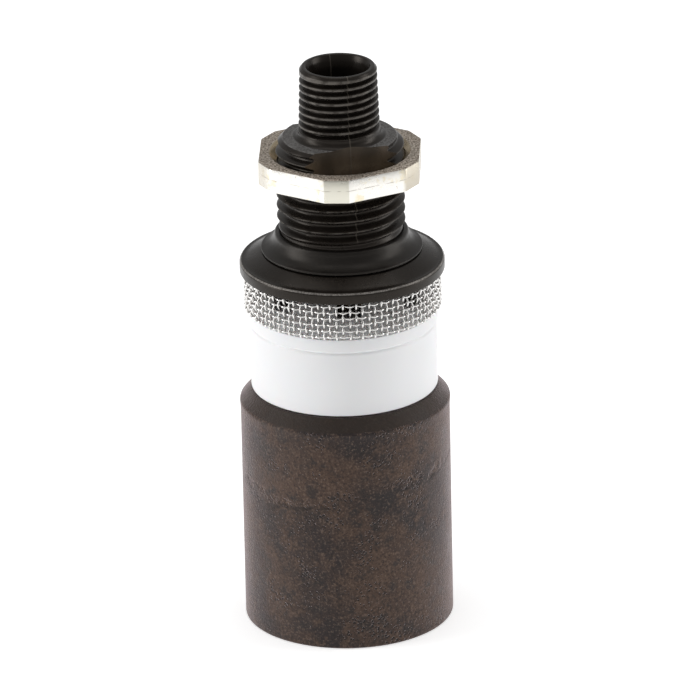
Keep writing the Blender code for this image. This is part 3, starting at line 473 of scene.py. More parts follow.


# %% [markdown]
# ### Nickel plate of the jam nut
#
# Plating over brass: bright, creamy sides with yellowish stains and a lengthwise tool mark, painted shade
# on the facets towards the left and right and on the front corner's flat, and ends that were faced and
# plated thinly, so they are rough, brownish and grainy.

# %% Nickel plate
def make_nickel():
    material, tree, shader = new_material("nickel_plate")
    where, x, y, z, radius = place_nodes(tree)
    facing = put(tree, "ShaderNodeNewGeometry").outputs["True Normal"]
    up = put(tree, "ShaderNodeSeparateXYZ", {0: facing}).outputs[2]
    ends = ramp(tree, size_of(tree, up), 0.80, 0.93)
    inside = times(tree, ramp(tree, radius, 0.0086, 0.0089, 1.0, 0.0), minus(tree, 1.0, ends))
    cloud = noise(tree, where, 260, 4)
    colour = mixed(tree, cloud, (0.86, 0.84, 0.79), (0.94, 0.92, 0.87))
    stain = ramp(tree, noise(tree, where, 520, 5, 0.62), 0.55, 0.68)
    colour = mixed(tree, times(tree, stain, 0.55), colour, (0.78, 0.66, 0.38))
    spot = ramp(tree, noise(tree, where, 2100, 3), 0.68, 0.74)
    colour = mixed(tree, times(tree, spot, 0.5), colour, (0.32, 0.27, 0.20))
    # Painted shade: the front corner's flat is duller, and the facets towards the left and right are darker
    front_painted_shade = ramp(tree, size_of(tree, plus(tree, x, 0.0005)), 0.00150, 0.00158, 1.0, 0.0)
    front_painted_shade = times(tree, front_painted_shade, ramp(tree, y, -0.0100, -0.0098, 1.0, 0.0))
    colour = mixed(tree, times(tree, front_painted_shade, 0.8), colour, (0.66, 0.64, 0.54))
    side_painted_shade = ramp(tree, x, 0.0076, 0.0082, 0.0, 0.85)
    side_painted_shade = plus(tree, side_painted_shade, ramp(tree, x, -0.0094, -0.0086, 0.55, 0.0))
    colour = mixed(tree, side_painted_shade, colour, (0.50, 0.45, 0.36))
    middle = (NUT_LOW + NUT_HIGH) / 2 * MM
    mark = thin_line(tree, minus(tree, z, middle + 0.00012), 0.00007)
    mark = times(tree, mark, ramp(tree, noise(tree, where, 900), 0.40, 0.60))
    colour = mixed(tree, times(tree, mark, 0.6), colour, (0.40, 0.36, 0.30))
    speckle = ramp(tree, noise(tree, where, 4200, 3), 0.38, 0.64)
    grainy = mixed(tree, speckle, (0.16, 0.125, 0.095), (0.62, 0.55, 0.47))
    colour = mixed(tree, ends, colour, grainy)
    colour = mixed(tree, inside, colour, mixed(tree, cloud, (0.40, 0.31, 0.19), (0.62, 0.52, 0.36)))
    rough = plus(tree, ramp(tree, cloud, 0.3, 0.7, 0.20, 0.34), times(tree, ends, 0.25))
    height = minus(tree, grain(tree, where, 2200), times(tree, mark, 0.5))
    wire(tree, shader, colour, rough, height, 0.00005, 0.6, Metallic=0.9)
    return material


# %% [markdown]
# ### Foam rubber of the float
#
# Closed-cell nitrile foam, cut and ground to a cylinder: mottled dark brown with pale dusty specks, open
# pits of several sizes, and a scuffed crease part of the way up. The cone at the top is smoother.

# %% Float foam
def make_foam():
    material, tree, shader = new_material("float_foam")
    where, x, y, z, radius = place_nodes(tree)
    cone = ramp(tree, z, 0.02888, 0.02902)
    side = minus(tree, 1.0, cone)
    broad = noise(tree, where, 90, 5, 0.62)
    middle = noise(tree, where, 520, 5, 0.65)
    fine = noise(tree, where, 3300, 3, 0.7)
    # A scuffed crease runs round the block and rises to the right
    wander = times(tree, minus(tree, noise(tree, where, 130, 4, 0.6), 0.5), 0.007)
    line = plus(tree, plus(tree, times(tree, x, 0.16), 0.0203), wander)
    crease = ramp(tree, size_of(tree, minus(tree, z, line)), 0.0001, 0.0011, 1.0, 0.0)
    crease = times(tree, crease, ramp(tree, middle, 0.44, 0.60))
    colour = mixed(tree, ramp(tree, broad, 0.38, 0.62), (0.0190, 0.0118, 0.0108), (0.0600, 0.0330, 0.0210))
    colour = mixed(tree, times(tree, ramp(tree, middle, 0.52, 0.66), 0.60), colour, (0.092, 0.056, 0.038))
    dark = times(tree, ramp(tree, middle, 0.47, 0.36), 0.75)
    colour = mixed(tree, dark, colour, (0.0095, 0.0060, 0.0054))
    pale = times(tree, ramp(tree, fine, 0.53, 0.66), plus(tree, 0.45, times(tree, crease, 0.45)))
    colour = mixed(tree, pale, colour, (0.190, 0.132, 0.100))
    colour = mixed(tree, times(tree, ramp(tree, fine, 0.47, 0.35), 0.80), colour, (0.0080, 0.0050, 0.0040))
    cells = put(tree, "ShaderNodeTexVoronoi", {"Vector": where, "Scale": 2300.0, "Randomness": 1.0})
    size = ramp(tree, noise(tree, where, 230, 3), 0.42, 0.66, 0.0, 0.38)
    size = plus(tree, size, times(tree, crease, 0.26))
    pits = ramp(tree, minus(tree, cells.outputs["Distance"], size), -0.08, 0.03, 1.0, 0.0)
    pits = times(tree, pits, side)
    below = minus(tree, line, 0.0008)
    shade = ramp(tree, size_of(tree, minus(tree, z, below)), 0.0001, 0.0006, 0.65, 0.0)
    shade = times(tree, shade, ramp(tree, middle, 0.46, 0.58))
    colour = mixed(tree, shade, colour, (0.0070, 0.0045, 0.0040))
    # Painted shade inside the pits
    colour = mixed(tree, times(tree, pits, 0.85), colour, (0.0050, 0.0030, 0.0026))
    colour = mixed(tree, times(tree, cone, 0.85), colour, (0.0200, 0.0120, 0.0070))
    rough = minus(tree, ramp(tree, middle, 0.3, 0.7, 0.46, 0.66), times(tree, cone, 0.06))
    height = plus(tree, times(tree, middle, 0.45), times(tree, fine, 0.55))
    height = minus(tree, height, times(tree, pits, 0.8))
    height = minus(tree, height, times(tree, crease, 0.7))
    wire(
        tree, shader, colour, rough, height, 0.00020, 0.85, Specular_IOR_Level=0.30,
        Sheen_Weight=0.80, Sheen_Roughness=0.34, Sheen_Tint=(1.0, 0.85, 0.86, 1.0),
    )
    return material


NYLON = make_black_nylon()
GASKET_RUBBER = make_rubber("gasket_rubber", (0.0075, 0.0066, 0.0060), (0.0130, 0.0113, 0.0100), 0.38)
SEAL_RUBBER = make_rubber("seal_rubber", (0.012, 0.012, 0.012), (0.020, 0.020, 0.020), 0.5)
ACETAL = make_white_acetal()
SCREEN_WIRE = make_metal("screen_wire", (0.60, 0.585, 0.57), (0.92, 0.91, 0.89), 0.16, 0.32, 1500)
STEEL = make_metal("stainless_steel", (0.56, 0.55, 0.53), (0.70, 0.69, 0.67), 0.22, 0.38)
BRASS = make_metal("brass", (0.66, 0.49, 0.22), (0.80, 0.62, 0.33), 0.20, 0.36)
NICKEL = make_nickel()
FOAM = make_foam()
print("materials", len(bpy.data.materials))

# %% [markdown]
# ## Threads
#
# A thread is a sheet whose rows climb by one pitch in a turn, so a row lies along the crest. Rows that
# would pass an end stop at it and are welded there. The nut's thread is the shank's own with a small
# clearance, so that the two mesh.

# %% Thread helpers
SHANK_PITCH = 25.4 / 18
STUB_PITCH = 25.4 / 27
FRONT = 1.5 * math.pi
SHANK_CREST_HEIGHT = 53.45   # height of a crest at the front


def thread_rows(low, high, pitch, crest_height, angles, per_turn=14):
    """Heights of a thread's rows and their phase in turns, 0 on a crest.

    A row's height is start + (row / per_turn + angle / full turn) * pitch, held between low and high.
    """
    turn = angles / (2 * math.pi)
    crest = crest_height - FRONT / (2 * math.pi) * pitch
    start = crest - math.ceil((crest - low) / pitch + 1) * pitch
    count = math.ceil((high - start) / pitch * per_turn) + 1
    height = start + (np.arange(count)[:, None] / per_turn + turn) * pitch
    height = np.clip(height, low, high)
    return height, (height - start) / pitch - turn


def thread_wave(phase, crest=0.06, root=0.20, ease=0.25):
    """1 on the crest and 0 in the root, with straight flanks between and slightly eased corners."""
    away = 2 * np.abs((phase + 0.5) % 1 - 0.5)
    flank = np.clip((1 - root - away) / (1 - root - crest), 0, 1)
    return (1 - ease) * flank + ease * flank ** 2 * (3 - 2 * flank)


def eased(value, low, high):
    """0 at low, 1 at high, with level ends."""
    share = np.clip((value - low) / (high - low), 0, 1)
    return share ** 2 * (3 - 2 * share)


def polar_sheet(radius, height, angles):
    return np.stack([radius * np.cos(angles), radius * np.sin(angles), height], axis=-1)


SHANK_CREST = 7.94
SHANK_ROOT = 7.08
SHANK_NECK = 7.6
SHANK_LOW = GASKET_HIGH + 0.1


def shank_radius(height, phase):
    """Radius of the shank's thread, which fades into the neck at its lower end."""
    radius = SHANK_ROOT + (SHANK_CREST - SHANK_ROOT) * thread_wave(phase)
    return SHANK_NECK + (radius - SHANK_NECK) * eased(height, SHANK_LOW, SHANK_LOW + 1.3)


# %% [markdown]
# ## Stem
#
# One moulding: the flange that the screen and body hang from, the shank that passes through the bowl,
# and the outlet stub with its taper pipe thread, with the outlet bore and the valve seat inside.

# %% Stem
FLANGE_RADIUS = 12.7
STUB_LOW = 64.3
STUB_DEPTH = 0.66
STUB_FOOT = 5.1
BORE_RADIUS = 3.45
SEAT_HEIGHT = 1.95
ORIFICE_RADIUS = 2.4
SEAT_FACE = GASKET_LOW - 0.2
SCREW_CIRCLE = 8.75


def screw_holes(name, low, high):
    """The three holes of the plate screws, from low to high."""
    turns = [math.pi / 2 + 2 * math.pi / 3 * number for number in range(3)]
    places = [(SCREW_CIRCLE * math.cos(turn), SCREW_CIRCLE * math.sin(turn)) for turn in turns]
    return rods_mesh(name, [(x, y, 0.9, low, high) for x, y in places])


def make_stem():
    angles = round_angles(264)
    shank_height, shank_phase = thread_rows(
        SHANK_LOW, SHOULDER_FACE, SHANK_PITCH, SHANK_CREST_HEIGHT, angles
    )
    shank = np.minimum(shank_radius(shank_height, shank_phase), 7.0 + (SHOULDER_FACE - shank_height))
    shoulder = rounded([
        (7.0, SHOULDER_FACE, 0), (5.95, SHOULDER_FACE, 0.08), (5.50, 63.55, 0.3), (5.15, 63.95, 0.25),
        (STUB_FOOT, STUB_LOW, 0),
    ])
    stub_height, stub_phase = thread_rows(STUB_LOW, STEM_HIGH - 0.12, STUB_PITCH, STUB_CREST_HEIGHT, angles)
    crest = STUB_CREST + (STUB_CREST_HEIGHT - stub_height) / 32
    stub = crest - STUB_DEPTH + STUB_DEPTH * thread_wave(stub_phase, 0.20, 0.06, 0.9)
    stub = STUB_FOOT + (stub - STUB_FOOT) * eased(stub_height, STUB_LOW, STUB_LOW + 0.42)
    smooth_end = eased(stub_height, STEM_HIGH - 0.85, STEM_HIGH - 0.55)
    stub = stub + (4.80 - stub) * smooth_end
    stub = np.minimum(stub, 4.55 + 0.8 * (STEM_HIGH - 0.12 - stub_height))
    seat = STEM_LOW + SEAT_HEIGHT
    inside = rounded([
        (4.55, STEM_HIGH - 0.12, 0), (4.44, STEM_HIGH, 0.1), (4.02, STEM_HIGH, 0.10),
        (3.70, STEM_HIGH - 0.55, 0.25), (BORE_RADIUS, STEM_HIGH - 1.6, 0.3), (BORE_RADIUS, seat, 0.2),
        (ORIFICE_RADIUS + 0.45, seat, 0.1), (ORIFICE_RADIUS + 0.25, seat + 0.4, 0.08),
        (ORIFICE_RADIUS, seat + 0.4, 0.05), (ORIFICE_RADIUS, STEM_LOW, 0.05),
        (FLANGE_RADIUS, STEM_LOW, 0.12), (FLANGE_RADIUS, STEM_LOW + 1.18, 0.16),
        (12.45, STEM_LOW + 1.44, 0.07), (12.12, STEM_LOW + 1.44, 0.10), (11.85, STEM_LOW + 1.52, 0.3),
        (10.3, SEAT_FACE - 0.16, 0.5), (10.0, SEAT_FACE, 0.1),
        (SHANK_NECK, SEAT_FACE, 0.1), (SHANK_NECK, SHANK_LOW, 0),
    ])
    sheets = [
        spun(inside, angles), polar_sheet(shank, shank_height, angles), spun(shoulder, angles),
        polar_sheet(stub, stub_height, angles),
    ]
    mesh = make_mesh("stem", *welded(sheets), sharp=40)
    reach = 12
    flats = boxes_mesh("flats", [
        ((-reach, -reach, 59.5), (reach, -FLAT_DISTANCE, STUB_LOW), PARTING),
        ((-reach, FLAT_DISTANCE, 59.5), (reach, reach, STUB_LOW), PARTING),
    ])
    mesh = cut(mesh, flats, 40)
    return cut(mesh, screw_holes("stem_holes", STEM_LOW - 1, STEM_LOW + 2.7), 40)


add_piece("outlet_stem_moulding", make_stem(), NYLON, "housing", "black_nylon", "outlet_stem")

# %% [markdown]
# ## Bowl gasket
#
# A rubber ring with a hollow-ground slope, moulded with a short upright edge at its foot, so that the
# bowl's hole centres on it.

# %% Bowl gasket
def make_gasket():
    middle = (GASKET_LOW + GASKET_HIGH) / 2
    outline = rounded([
        (7.68, middle, 0), (7.68, GASKET_LOW, 0.05), (9.98, GASKET_LOW, 0.05),
        (9.98, GASKET_LOW + 0.26, 0.08), (9.55, GASKET_LOW + 0.40, 0.35), (8.85, GASKET_LOW + 0.86, 0.6),
        (8.42, GASKET_LOW + 1.55, 0.5), (8.30, GASKET_HIGH - 0.25, 0.2), (8.12, GASKET_HIGH, 0.12),
        (7.68, GASKET_HIGH, 0.05), (7.68, middle, 0),
    ])
    return make_mesh("gasket", *welded([spun(outline, round_angles(192))]), sharp=50)


add_piece("bowl_gasket_ring", make_gasket(), GASKET_RUBBER, "housing", "gasket_rubber", "bowl_gasket")

# %% [markdown]
# ## Jam nut
#
# A thin hexagon nut cut from bar whose corners were taken off square, which gives twelve faces, with
# small breaks on its edges, countersunk both ends, and tapped with the shank's thread.

# %% Jam nut
NUT_TURN = math.radians(-2.7)
NUT_FLAT = 9.9
NUT_FACET = 10.55
NUT_SINK = 8.75


def nut_radius(angles):
    """Distance from the axis to a twelve-sided outline with slightly rounded corners."""
    corner = FRONT + NUT_TURN
    reach = []
    for side in range(12):
        distance = NUT_FACET if side % 2 == 0 else NUT_FLAT
        facing = np.cos(angles - corner - side * math.pi / 6)
        reach.append(distance / np.maximum(facing, 0.05))
    return -0.035 * np.log(np.sum(np.exp(-np.array(reach) / 0.035 + 300), axis=0)) + 0.035 * 300


def nut_angles():
    """Even columns, with extra ones close to each corner of the outline."""
    half = math.acos(0)
    near = []
    for side in range(12):
        one = (NUT_FACET, FRONT + NUT_TURN + side * math.pi / 6)
        two = (NUT_FLAT, FRONT + NUT_TURN + (side + 1) * math.pi / 6)
        if side % 2:
            one, two = (NUT_FLAT, one[1]), (NUT_FACET, two[1])
        run = math.atan2(
            two[0] * math.cos(one[1]) - one[0] * math.cos(two[1]),
            one[0] * math.sin(two[1]) - two[0] * math.sin(one[1]),
        )
        while abs((run - one[1] + math.pi) % (2 * math.pi) - math.pi) > half:
            run += math.pi
        near += [run - 0.008, run, run + 0.008]
    even = np.linspace(0, 2 * math.pi, 241)
    extra = np.array(near) % (2 * math.pi)
    return np.unique(np.concatenate([even, extra]))


def make_nut():
    angles = nut_angles()
    outer = nut_radius(angles)
    height, phase = thread_rows(NUT_LOW, NUT_HIGH, SHANK_PITCH, SHANK_CREST_HEIGHT, angles)
    sink = np.maximum(NUT_SINK - (height - NUT_LOW), NUT_SINK - (NUT_HIGH - height))
    inner = np.maximum(shank_radius(height, phase) + 0.14, sink)
    edge = 0.16
    low, high = NUT_LOW, NUT_HIGH
    rim = [
        (NUT_SINK + 0 * outer, low), (outer - edge, low), (outer - 0.3 * edge, low + 0.3 * edge),
        (outer, low + edge), (outer, high - edge), (outer - 0.3 * edge, high - 0.3 * edge),
        (outer - edge, high), (NUT_SINK + 0 * outer, high),
    ]
    rim_radius = np.stack([radius for radius, _ in rim])
    rim_height = np.stack([level + 0 * angles for _, level in rim])
    sheets = [polar_sheet(rim_radius, rim_height, angles), polar_sheet(inner, height, angles)]
    return make_mesh("nut", *welded(sheets), sharp=25)


add_piece("jam_nut_plated", make_nut(), NICKEL, "jam_nut", "nickel_plate", "jam_nut")

# %% [markdown]
# ## Body
#
# A white acetal moulding: a skirt round the lever, a collar with a lip under the screen, and a neck with
# eight windows that lets water in above the float.

# %% Body
WINDOWS = 8
WINDOW_TURN = math.radians(3.7)


def make_body():
    collar_top = SCREEN_LOW - 0.15
    collar = collar_top - 1.75
    outline = rounded([
        (10.5, 34.0, 0), (10.5, BODY_LOW, 0.1), (11.6, BODY_LOW, 0.28), (11.6, collar - 0.35, 0.2),
        (11.44, collar - 0.08, 0.1), (11.74, collar + 0.12, 0.08), (11.75, collar_top, 0.14),
        (11.45, collar_top, 0.05), (11.45, BODY_HIGH, 0.08), (10.1, BODY_HIGH, 0.08),
        (10.1, 42.55, 0.15), (6.6, 42.55, 0.1), (6.6, 37.45, 0.1), (10.5, 37.45, 0.1), (10.5, 34.0, 0),
    ])
    mesh = make_mesh("body", *welded([spun(outline, round_angles(216))]), sharp=40)
    windows = []
    for number in range(WINDOWS):
        turn = WINDOW_TURN - math.pi / 2 + 2 * math.pi * number / WINDOWS
        windows.append(((9.1, -1.55, BODY_HIGH - 2.15), (12.45, 1.55, BODY_HIGH + 1), turn))
    mesh = cut(mesh, boxes_mesh("windows", windows), 40)
    return cut(mesh, screw_holes("body_holes", 36.4, 43.5), 40)


add_piece("drain_body_moulding", make_body(), ACETAL, "housing", "white_acetal", "drain_body")

# %% [markdown]
# ## Inlet screen
#
# A strip of plain-woven stainless wire bent into a ring: upright wires pass in front of and behind the
# wires that run round. Each wire is a round tube whose middle line swings in and out as a sine.

# %% Inlet screen
WIRE_RADIUS = 0.135
WEAVE = 0.16
UPRIGHTS = 96
ROUNDS = 6
SCREEN_MIDDLE = 11.975


def tube(path, inward, across, radius, sides=8):
    """Sheet of a tube round a path; inward and across are unit directions square to it at each point."""
    turn = np.linspace(0, 2 * math.pi, sides + 1)[:, None]
    ring = np.cos(turn) * inward[..., None, :] + np.sin(turn) * across[..., None, :]
    return path[..., None, :] + radius * ring


def make_screen():
    rows = np.linspace(SCREEN_LOW + 0.28, SCREEN_HIGH - 0.30, ROUNDS)
    step = rows[1] - rows[0]
    sheets = []
    # Wires that run round: radius = middle + weave * cos(uprights * angle / 2 + row's turn)
    angles = np.linspace(0, 2 * math.pi, UPRIGHTS * 6 + 1)
    outward = np.stack([np.cos(angles), np.sin(angles), 0 * angles], axis=-1)
    for number, level in enumerate(rows):
        swing = WEAVE * np.cos(UPRIGHTS / 2 * angles + math.pi * number)
        path = (SCREEN_MIDDLE + swing)[:, None] * outward
        # The row's height drifts by a few hundredths as it goes round
        path[:, 2] = level + 0.035 * np.sin(3 * angles + 2.1 * number)
        path[:, 2] += 0.025 * np.sin(11 * angles + 1.3 * number)
        up = np.tile([0.0, 0.0, 1.0], (len(angles), 1))
        sheets.append(tube(path, outward, up, WIRE_RADIUS))
    points, quads, first = [], [], 0
    for sheet in sheets:
        ring = sheet[:-1, :-1]
        count, sides = ring.shape[:2]
        index = first + np.arange(count * sides).reshape(count, sides)
        right, above = np.roll(index, -1, axis=0), np.roll(index, -1, axis=1)
        quads.append(np.stack([index, right, np.roll(right, -1, axis=1), above], axis=-1).reshape(-1, 4))
        points.append(ring.reshape(-1, 3))
        first += count * sides
    # Upright wires: radius = middle - weave * cos(pi * (height - first row) / step + wire's turn)
    heights = np.linspace(SCREEN_LOW + 0.02, SCREEN_HIGH - 0.02, ROUNDS * 6 + 1)
    wires = np.arange(UPRIGHTS)
    # Each upright stands a little off its even place: by 9 % of the spacing times a sine that never repeats
    angles = (wires + 0.09 * np.sin(2.4 * wires * wires + wires)) * 2 * math.pi / UPRIGHTS
    outward = np.stack([np.cos(angles), np.sin(angles), 0 * angles], axis=-1)
    beside = np.stack([-np.sin(angles), np.cos(angles), 0 * angles], axis=-1)
    swing = -WEAVE * np.cos(math.pi * (heights[None] - rows[0]) / step + math.pi * wires[:, None])
    path = (SCREEN_MIDDLE + swing)[..., None] * outward[:, None]
    path = path + heights[None, :, None] * np.array([0, 0, 1.0])
    sides = 8
    turn = np.arange(sides) * 2 * math.pi / sides
    ring = np.cos(turn)[:, None] * outward[:, None, None] + np.sin(turn)[:, None] * beside[:, None, None]
    tubes = path[:, :, None] + WIRE_RADIUS * ring
    index = first + np.arange(UPRIGHTS * len(heights) * sides).reshape(UPRIGHTS, len(heights), sides)
    around = np.roll(index, -1, axis=2)
    corners = [index[:, :-1], around[:, :-1], around[:, 1:], index[:, 1:]]
    quads.append(np.stack(corners, axis=-1).reshape(-1, 4))
    points.append(tubes.reshape(-1, 3))
    caps = np.concatenate([index[:, 0], index[:, -1]])
    return make_mesh("screen", np.concatenate(points), [np.concatenate(quads), caps], sharp=60)


add_piece("inlet_screen_weave", make_screen(), SCREEN_WIRE, "housing", "screen_wire", "inlet_screen")

# %% [markdown]
# ## Float
#
# A block of foam rubber ground round, with a slightly swollen rim where the grinding stopped and a
# smooth cone above it. A pocket in its flat end gives room for the rod's end and clip.

# %% Float
def make_float():
    rim = FLOAT_HIGH - 1.6
    outline = rounded([
        (2.15, 15.0, 0), (2.15, 7.8, 0.05), (3.5, 7.8, 0.1), (3.5, 0.0, 0.25), (13.0, 0.0, 0.3),
        (13.0, 15.0, 0), (13.0, rim - 1.1, 0.5), (13.09, rim - 0.1, 0.25), (12.9, rim + 0.10, 0.12),
        (11.6, FLOAT_HIGH, 0.12),
        (2.15, FLOAT_HIGH, 0.1), (2.15, 15.0, 0),
    ])
    mesh = make_mesh("float", *welded([spun(outline, round_angles(192))]), sharp=40)
    return cut(mesh, rods_mesh("pin_hole", [(-6.0, 0, 1.05, FLOAT_HIGH - 5.2, FLOAT_HIGH + 1)]), 40)


add_piece("float_block", make_float(), FOAM, "float", "float_foam", "float")

# %% [markdown]
# ## Guide rod, clip and sleeve
#
# These show in the pocket of the float's flat end. The rod has a chamfered tip and a groove, the clip is
# stamped from sheet with three inner lugs and an open mouth, and the sleeve's flange stops the float.

# %% Guide rod, clip and sleeve
ROD_LOW, ROD_HIGH = height_of("guide_rod")
CLIP_LOW, CLIP_HIGH = height_of("rod_clip")
SLEEVE_LOW, SLEEVE_HIGH = height_of("float_sleeve")


def make_rod():
    outline = rounded([
        (0, ROD_LOW, 0), (0.75, ROD_LOW, 0.08), (1.0, ROD_LOW + 0.25, 0.06), (1.0, CLIP_LOW - 0.15, 0.04),
        (0.7, CLIP_LOW - 0.15, 0.04), (0.7, CLIP_HIGH + 0.15, 0.04), (1.0, CLIP_HIGH + 0.15, 0.04),
        (1.0, ROD_HIGH, 0.06), (0, ROD_HIGH, 0),
    ])
    return make_mesh("rod", *welded([spun(outline, round_angles(64))]))


def make_clip():
    """Inner radius = 0.85 on three lugs and 1.45 between them, from one side of the mouth to the other."""
    angles = -math.pi / 2 + np.linspace(math.radians(30), math.radians(330), 121)
    lug = eased(np.cos(3 * (angles + math.pi / 2) + math.pi), 0.35, 0.75)
    inner = 1.45 - 0.6 * lug
    mouth = eased(np.abs(np.linspace(-1, 1, 121)), 0.93, 1.0)
    outer = 2.4 - 0.12 * mouth
    edge = 0.06
    low, high = CLIP_LOW, CLIP_HIGH
    rows = [
        (inner, low + edge), (inner + edge, low), (outer - edge, low), (outer, low + edge),
        (outer, high - edge), (outer - edge, high), (inner + edge, high), (inner, high - edge),
        (inner, low + edge),
    ]
    radius = np.stack([part for part, _ in rows])
    height = np.stack([level + 0 * angles for _, level in rows])
    points, faces = welded([polar_sheet(radius, height, angles)])
    corners = np.stack([radius[:-1] * np.cos(angles), radius[:-1] * np.sin(angles), height[:-1]], axis=-1)
    caps = []
    for end in (0, -1):
        ring = corners[:, end]
        caps.append([int(np.argmin(((points - corner) ** 2).sum(axis=1))) for corner in ring])
    return make_mesh("clip", points, faces + [np.array(caps)])


def make_sleeve():
    outline = rounded([
        (1.2, 15.0, 0), (1.2, SLEEVE_LOW, 0.12), (3.2, SLEEVE_LOW, 0.15), (3.2, SLEEVE_LOW + 0.8, 0.12),
        (2.0, SLEEVE_LOW + 0.8, 0.08), (2.0, SLEEVE_HIGH, 0.08), (1.2, SLEEVE_HIGH, 0.08), (1.2, 15.0, 0),
    ])
    return make_mesh("sleeve", *welded([spun(outline, round_angles(96))]))


add_piece("guide_rod_turned", make_rod(), STEEL, "housing", "stainless_steel", "guide_rod")
add_piece("rod_clip_stamped", make_clip(), STEEL, "housing", "stainless_steel", "rod_clip")
add_piece("float_sleeve_moulding", make_sleeve(), ACETAL, "float", "white_acetal", "float_sleeve")

# %% [markdown]
# ## Piston spring
#
# A round stainless wire wound to a compression spring, with a closed coil at each end that is ground
# flat. In the drain it shortens towards the flange as the piston rises; here it keeps the frame's length.

# %% Piston spring
SPRING_LOW, SPRING_HIGH = height_of("piston_spring")


def make_spring(turns=4.5, closed=1.0, wire_radius=0.25, radius=3.3):
    """Helix whose pitch is a wire and a little at both ends, and even between them."""
    t = np.linspace(0, turns, 289)
    pitch = 2 * wire_radius + 0.15
    low, high = SPRING_LOW + wire_radius, SPRING_HIGH - wire_radius
    open_turns = np.clip(t - closed, 0, turns - 2 * closed)
    open_pitch = (high - low - 2 * closed * pitch) / (turns - 2 * closed)
    height = low + (t - open_turns) * pitch + open_turns * open_pitch
    angles = 2 * math.pi * t
    path = np.stack([radius * np.cos(angles), radius * np.sin(angles), height], axis=-1)
    along = np.gradient(path, axis=0)
    along /= np.linalg.norm(along, axis=1)[:, None]
    outward = np.stack([np.cos(angles), np.sin(angles), 0 * angles], axis=-1)
    across = np.cross(along, outward)
    sides = 12
    turn = np.arange(sides) * 2 * math.pi / sides
    ring = np.cos(turn)[:, None] * outward[:, None] + np.sin(turn)[:, None] * across[:, None]
    points = (path[:, None] + wire_radius * ring).reshape(-1, 3)
    points[:, 2] = np.clip(points[:, 2], SPRING_LOW + 0.06, SPRING_HIGH - 0.06)
    index = np.arange(len(points)).reshape(-1, sides)
    around = np.roll(index, -1, axis=1)
    quads = np.stack([index[:-1], around[:-1], around[1:], index[1:]], axis=-1).reshape(-1, 4)
    return make_mesh("spring", points, [quads, index[[0, -1]]])


spring = add_piece(
    "piston_spring_wire", make_spring(), STEEL, "housing", "stainless_steel", "piston_spring"
)
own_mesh(spring)

# %% [markdown]
# ## Pieces that keep the frame's shape
#
# The rest of the mechanism is hidden inside the body, so its pieces keep their solids and take the
# finish of what they are made of.

# %% Finishes of the inner pieces
INNER = {
    "pilot_plate": ACETAL, "piston": ACETAL, "plate_o_ring": SEAL_RUBBER, "piston_seal": SEAL_RUBBER,
    "pilot_pad": SEAL_RUBBER, "valve_seal": SEAL_RUBBER, "plate_screw_1": STEEL, "plate_screw_2": STEEL,
    "plate_screw_3": STEEL, "lever_pin": STEEL, "pilot_lever": STEEL, "lift_pin": STEEL,
    "pilot_nozzle": BRASS, "valve_spindle": BRASS, "bleed_jet": BRASS, "piston_nut": BRASS,
    "valve_nut": BRASS,
}
for label, finish in INNER.items():
    mesh = NODES[label].data
    mesh.materials.clear()
    mesh.materials.append(finish)
print(len(INNER), "inner pieces finished")

# %% [markdown]
# ## Floor, light and camera
#
# A white table in a white tent: soft panels on both sides and above, brighter behind than in front, so
# that round black parts show pale edges and a dark middle. The lens is long and looks down a little.

# %% Floor
def make_floor():
    size = 3.0
    mesh = bpy.data.meshes.new("floor")
    corners = [(-size, -size, 0), (size, -size, 0), (size, size, 0), (-size, size, 0)]
    mesh.from_pydata(corners, [], [(0, 1, 2, 3)])
    floor = bpy.data.objects.new("floor", mesh)
    bpy.context.scene.collection.objects.link(floor)
    material, tree, shader = new_material("white_table")
    where = place_nodes(tree)[0]
    colour = mixed(tree, noise(tree, where, 3.0), (0.92, 0.92, 0.92), (0.94, 0.94, 0.94))
    wire(
        tree, shader, colour, 0.6,
        Specular_IOR_Level=0.2, Emission_Color=(1, 1, 1, 1), Emission_Strength=0.45,
    )
    mesh.materials.append(material)


make_floor()


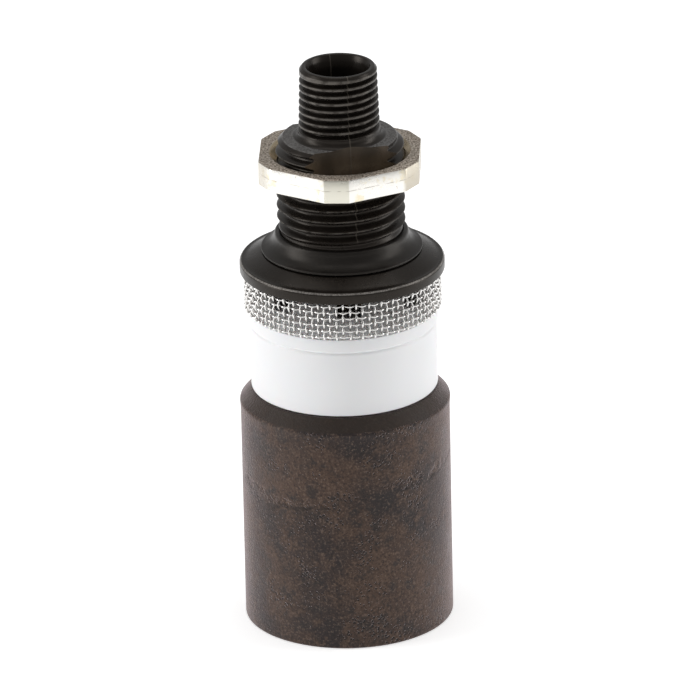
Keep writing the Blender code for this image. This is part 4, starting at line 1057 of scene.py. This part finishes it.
# %% Light
def add_panel(name, place, target, size, power):
    light = bpy.data.lights.new(name, "AREA")
    light.shape, light.size, light.size_y = "RECTANGLE", size[0], size[1]
    light.energy = power
    panel = bpy.data.objects.new(name, light)
    panel.location = place
    panel.rotation_euler = (Vector(target) - Vector(place)).to_track_quat("-Z", "Y").to_euler()
    bpy.context.scene.collection.objects.link(panel)


def make_world():
    world = bpy.data.worlds.new("tent")
    world.use_nodes = True
    tree = world.node_tree
    tree.nodes.clear()
    direction = put(tree, "ShaderNodeTexCoord").outputs["Generated"]
    way = put(tree, "ShaderNodeSeparateXYZ", {0: direction}).outputs
    behind = ramp(tree, way[1], -0.9, 0.9, 0.30, 0.44)
    light = put(tree, "ShaderNodeBackground", {"Color": (1, 1, 1, 1), "Strength": behind})
    seen = put(tree, "ShaderNodeBackground", {"Color": (1, 1, 1, 1), "Strength": 1.0})
    camera_ray = put(tree, "ShaderNodeLightPath").outputs["Is Camera Ray"]
    both = put(tree, "ShaderNodeMixShader", {0: camera_ray, 1: light.outputs[0], 2: seen.outputs[0]})
    put(tree, "ShaderNodeOutputWorld", {"Surface": both.outputs[0]})
    bpy.context.scene.world = world


make_world()
CENTRE = (0, 0, 0.036)
add_panel("left_panel", (-0.46, -0.06, 0.16), CENTRE, (0.20, 0.50), 1.28)
add_panel("right_panel", (0.46, 0.02, 0.16), CENTRE, (0.20, 0.50), 0.92)
add_panel("top_panel", (0.0, 0.05, 0.60), CENTRE, (0.5, 0.5), 1.1)
bpy.context.scene.view_settings.view_transform = "Standard"

# %% Camera
DISTANCE = 1.1917
ELEVATION = math.radians(22.14)
ROLL = math.radians(-1.25)
SENSOR = 36
FOCAL = 13.72 * SENSOR
SHIFT = (0.0087143, -0.0125714)

camera = bpy.data.cameras.new("camera")
camera.sensor_width, camera.lens = SENSOR, FOCAL
camera.clip_start, camera.clip_end = 0.05, 20
camera.shift_x, camera.shift_y = SHIFT
eye = bpy.data.objects.new("camera", camera)
place = Vector(CENTRE) + DISTANCE * Vector((0, -math.cos(ELEVATION), math.sin(ELEVATION)))
turn = Matrix.Rotation(math.pi / 2 - ELEVATION, 4, "X") @ Matrix.Rotation(ROLL, 4, "Z")
eye.matrix_world = Matrix.Translation(place) @ turn
bpy.context.scene.collection.objects.link(eye)
bpy.context.scene.camera = eye
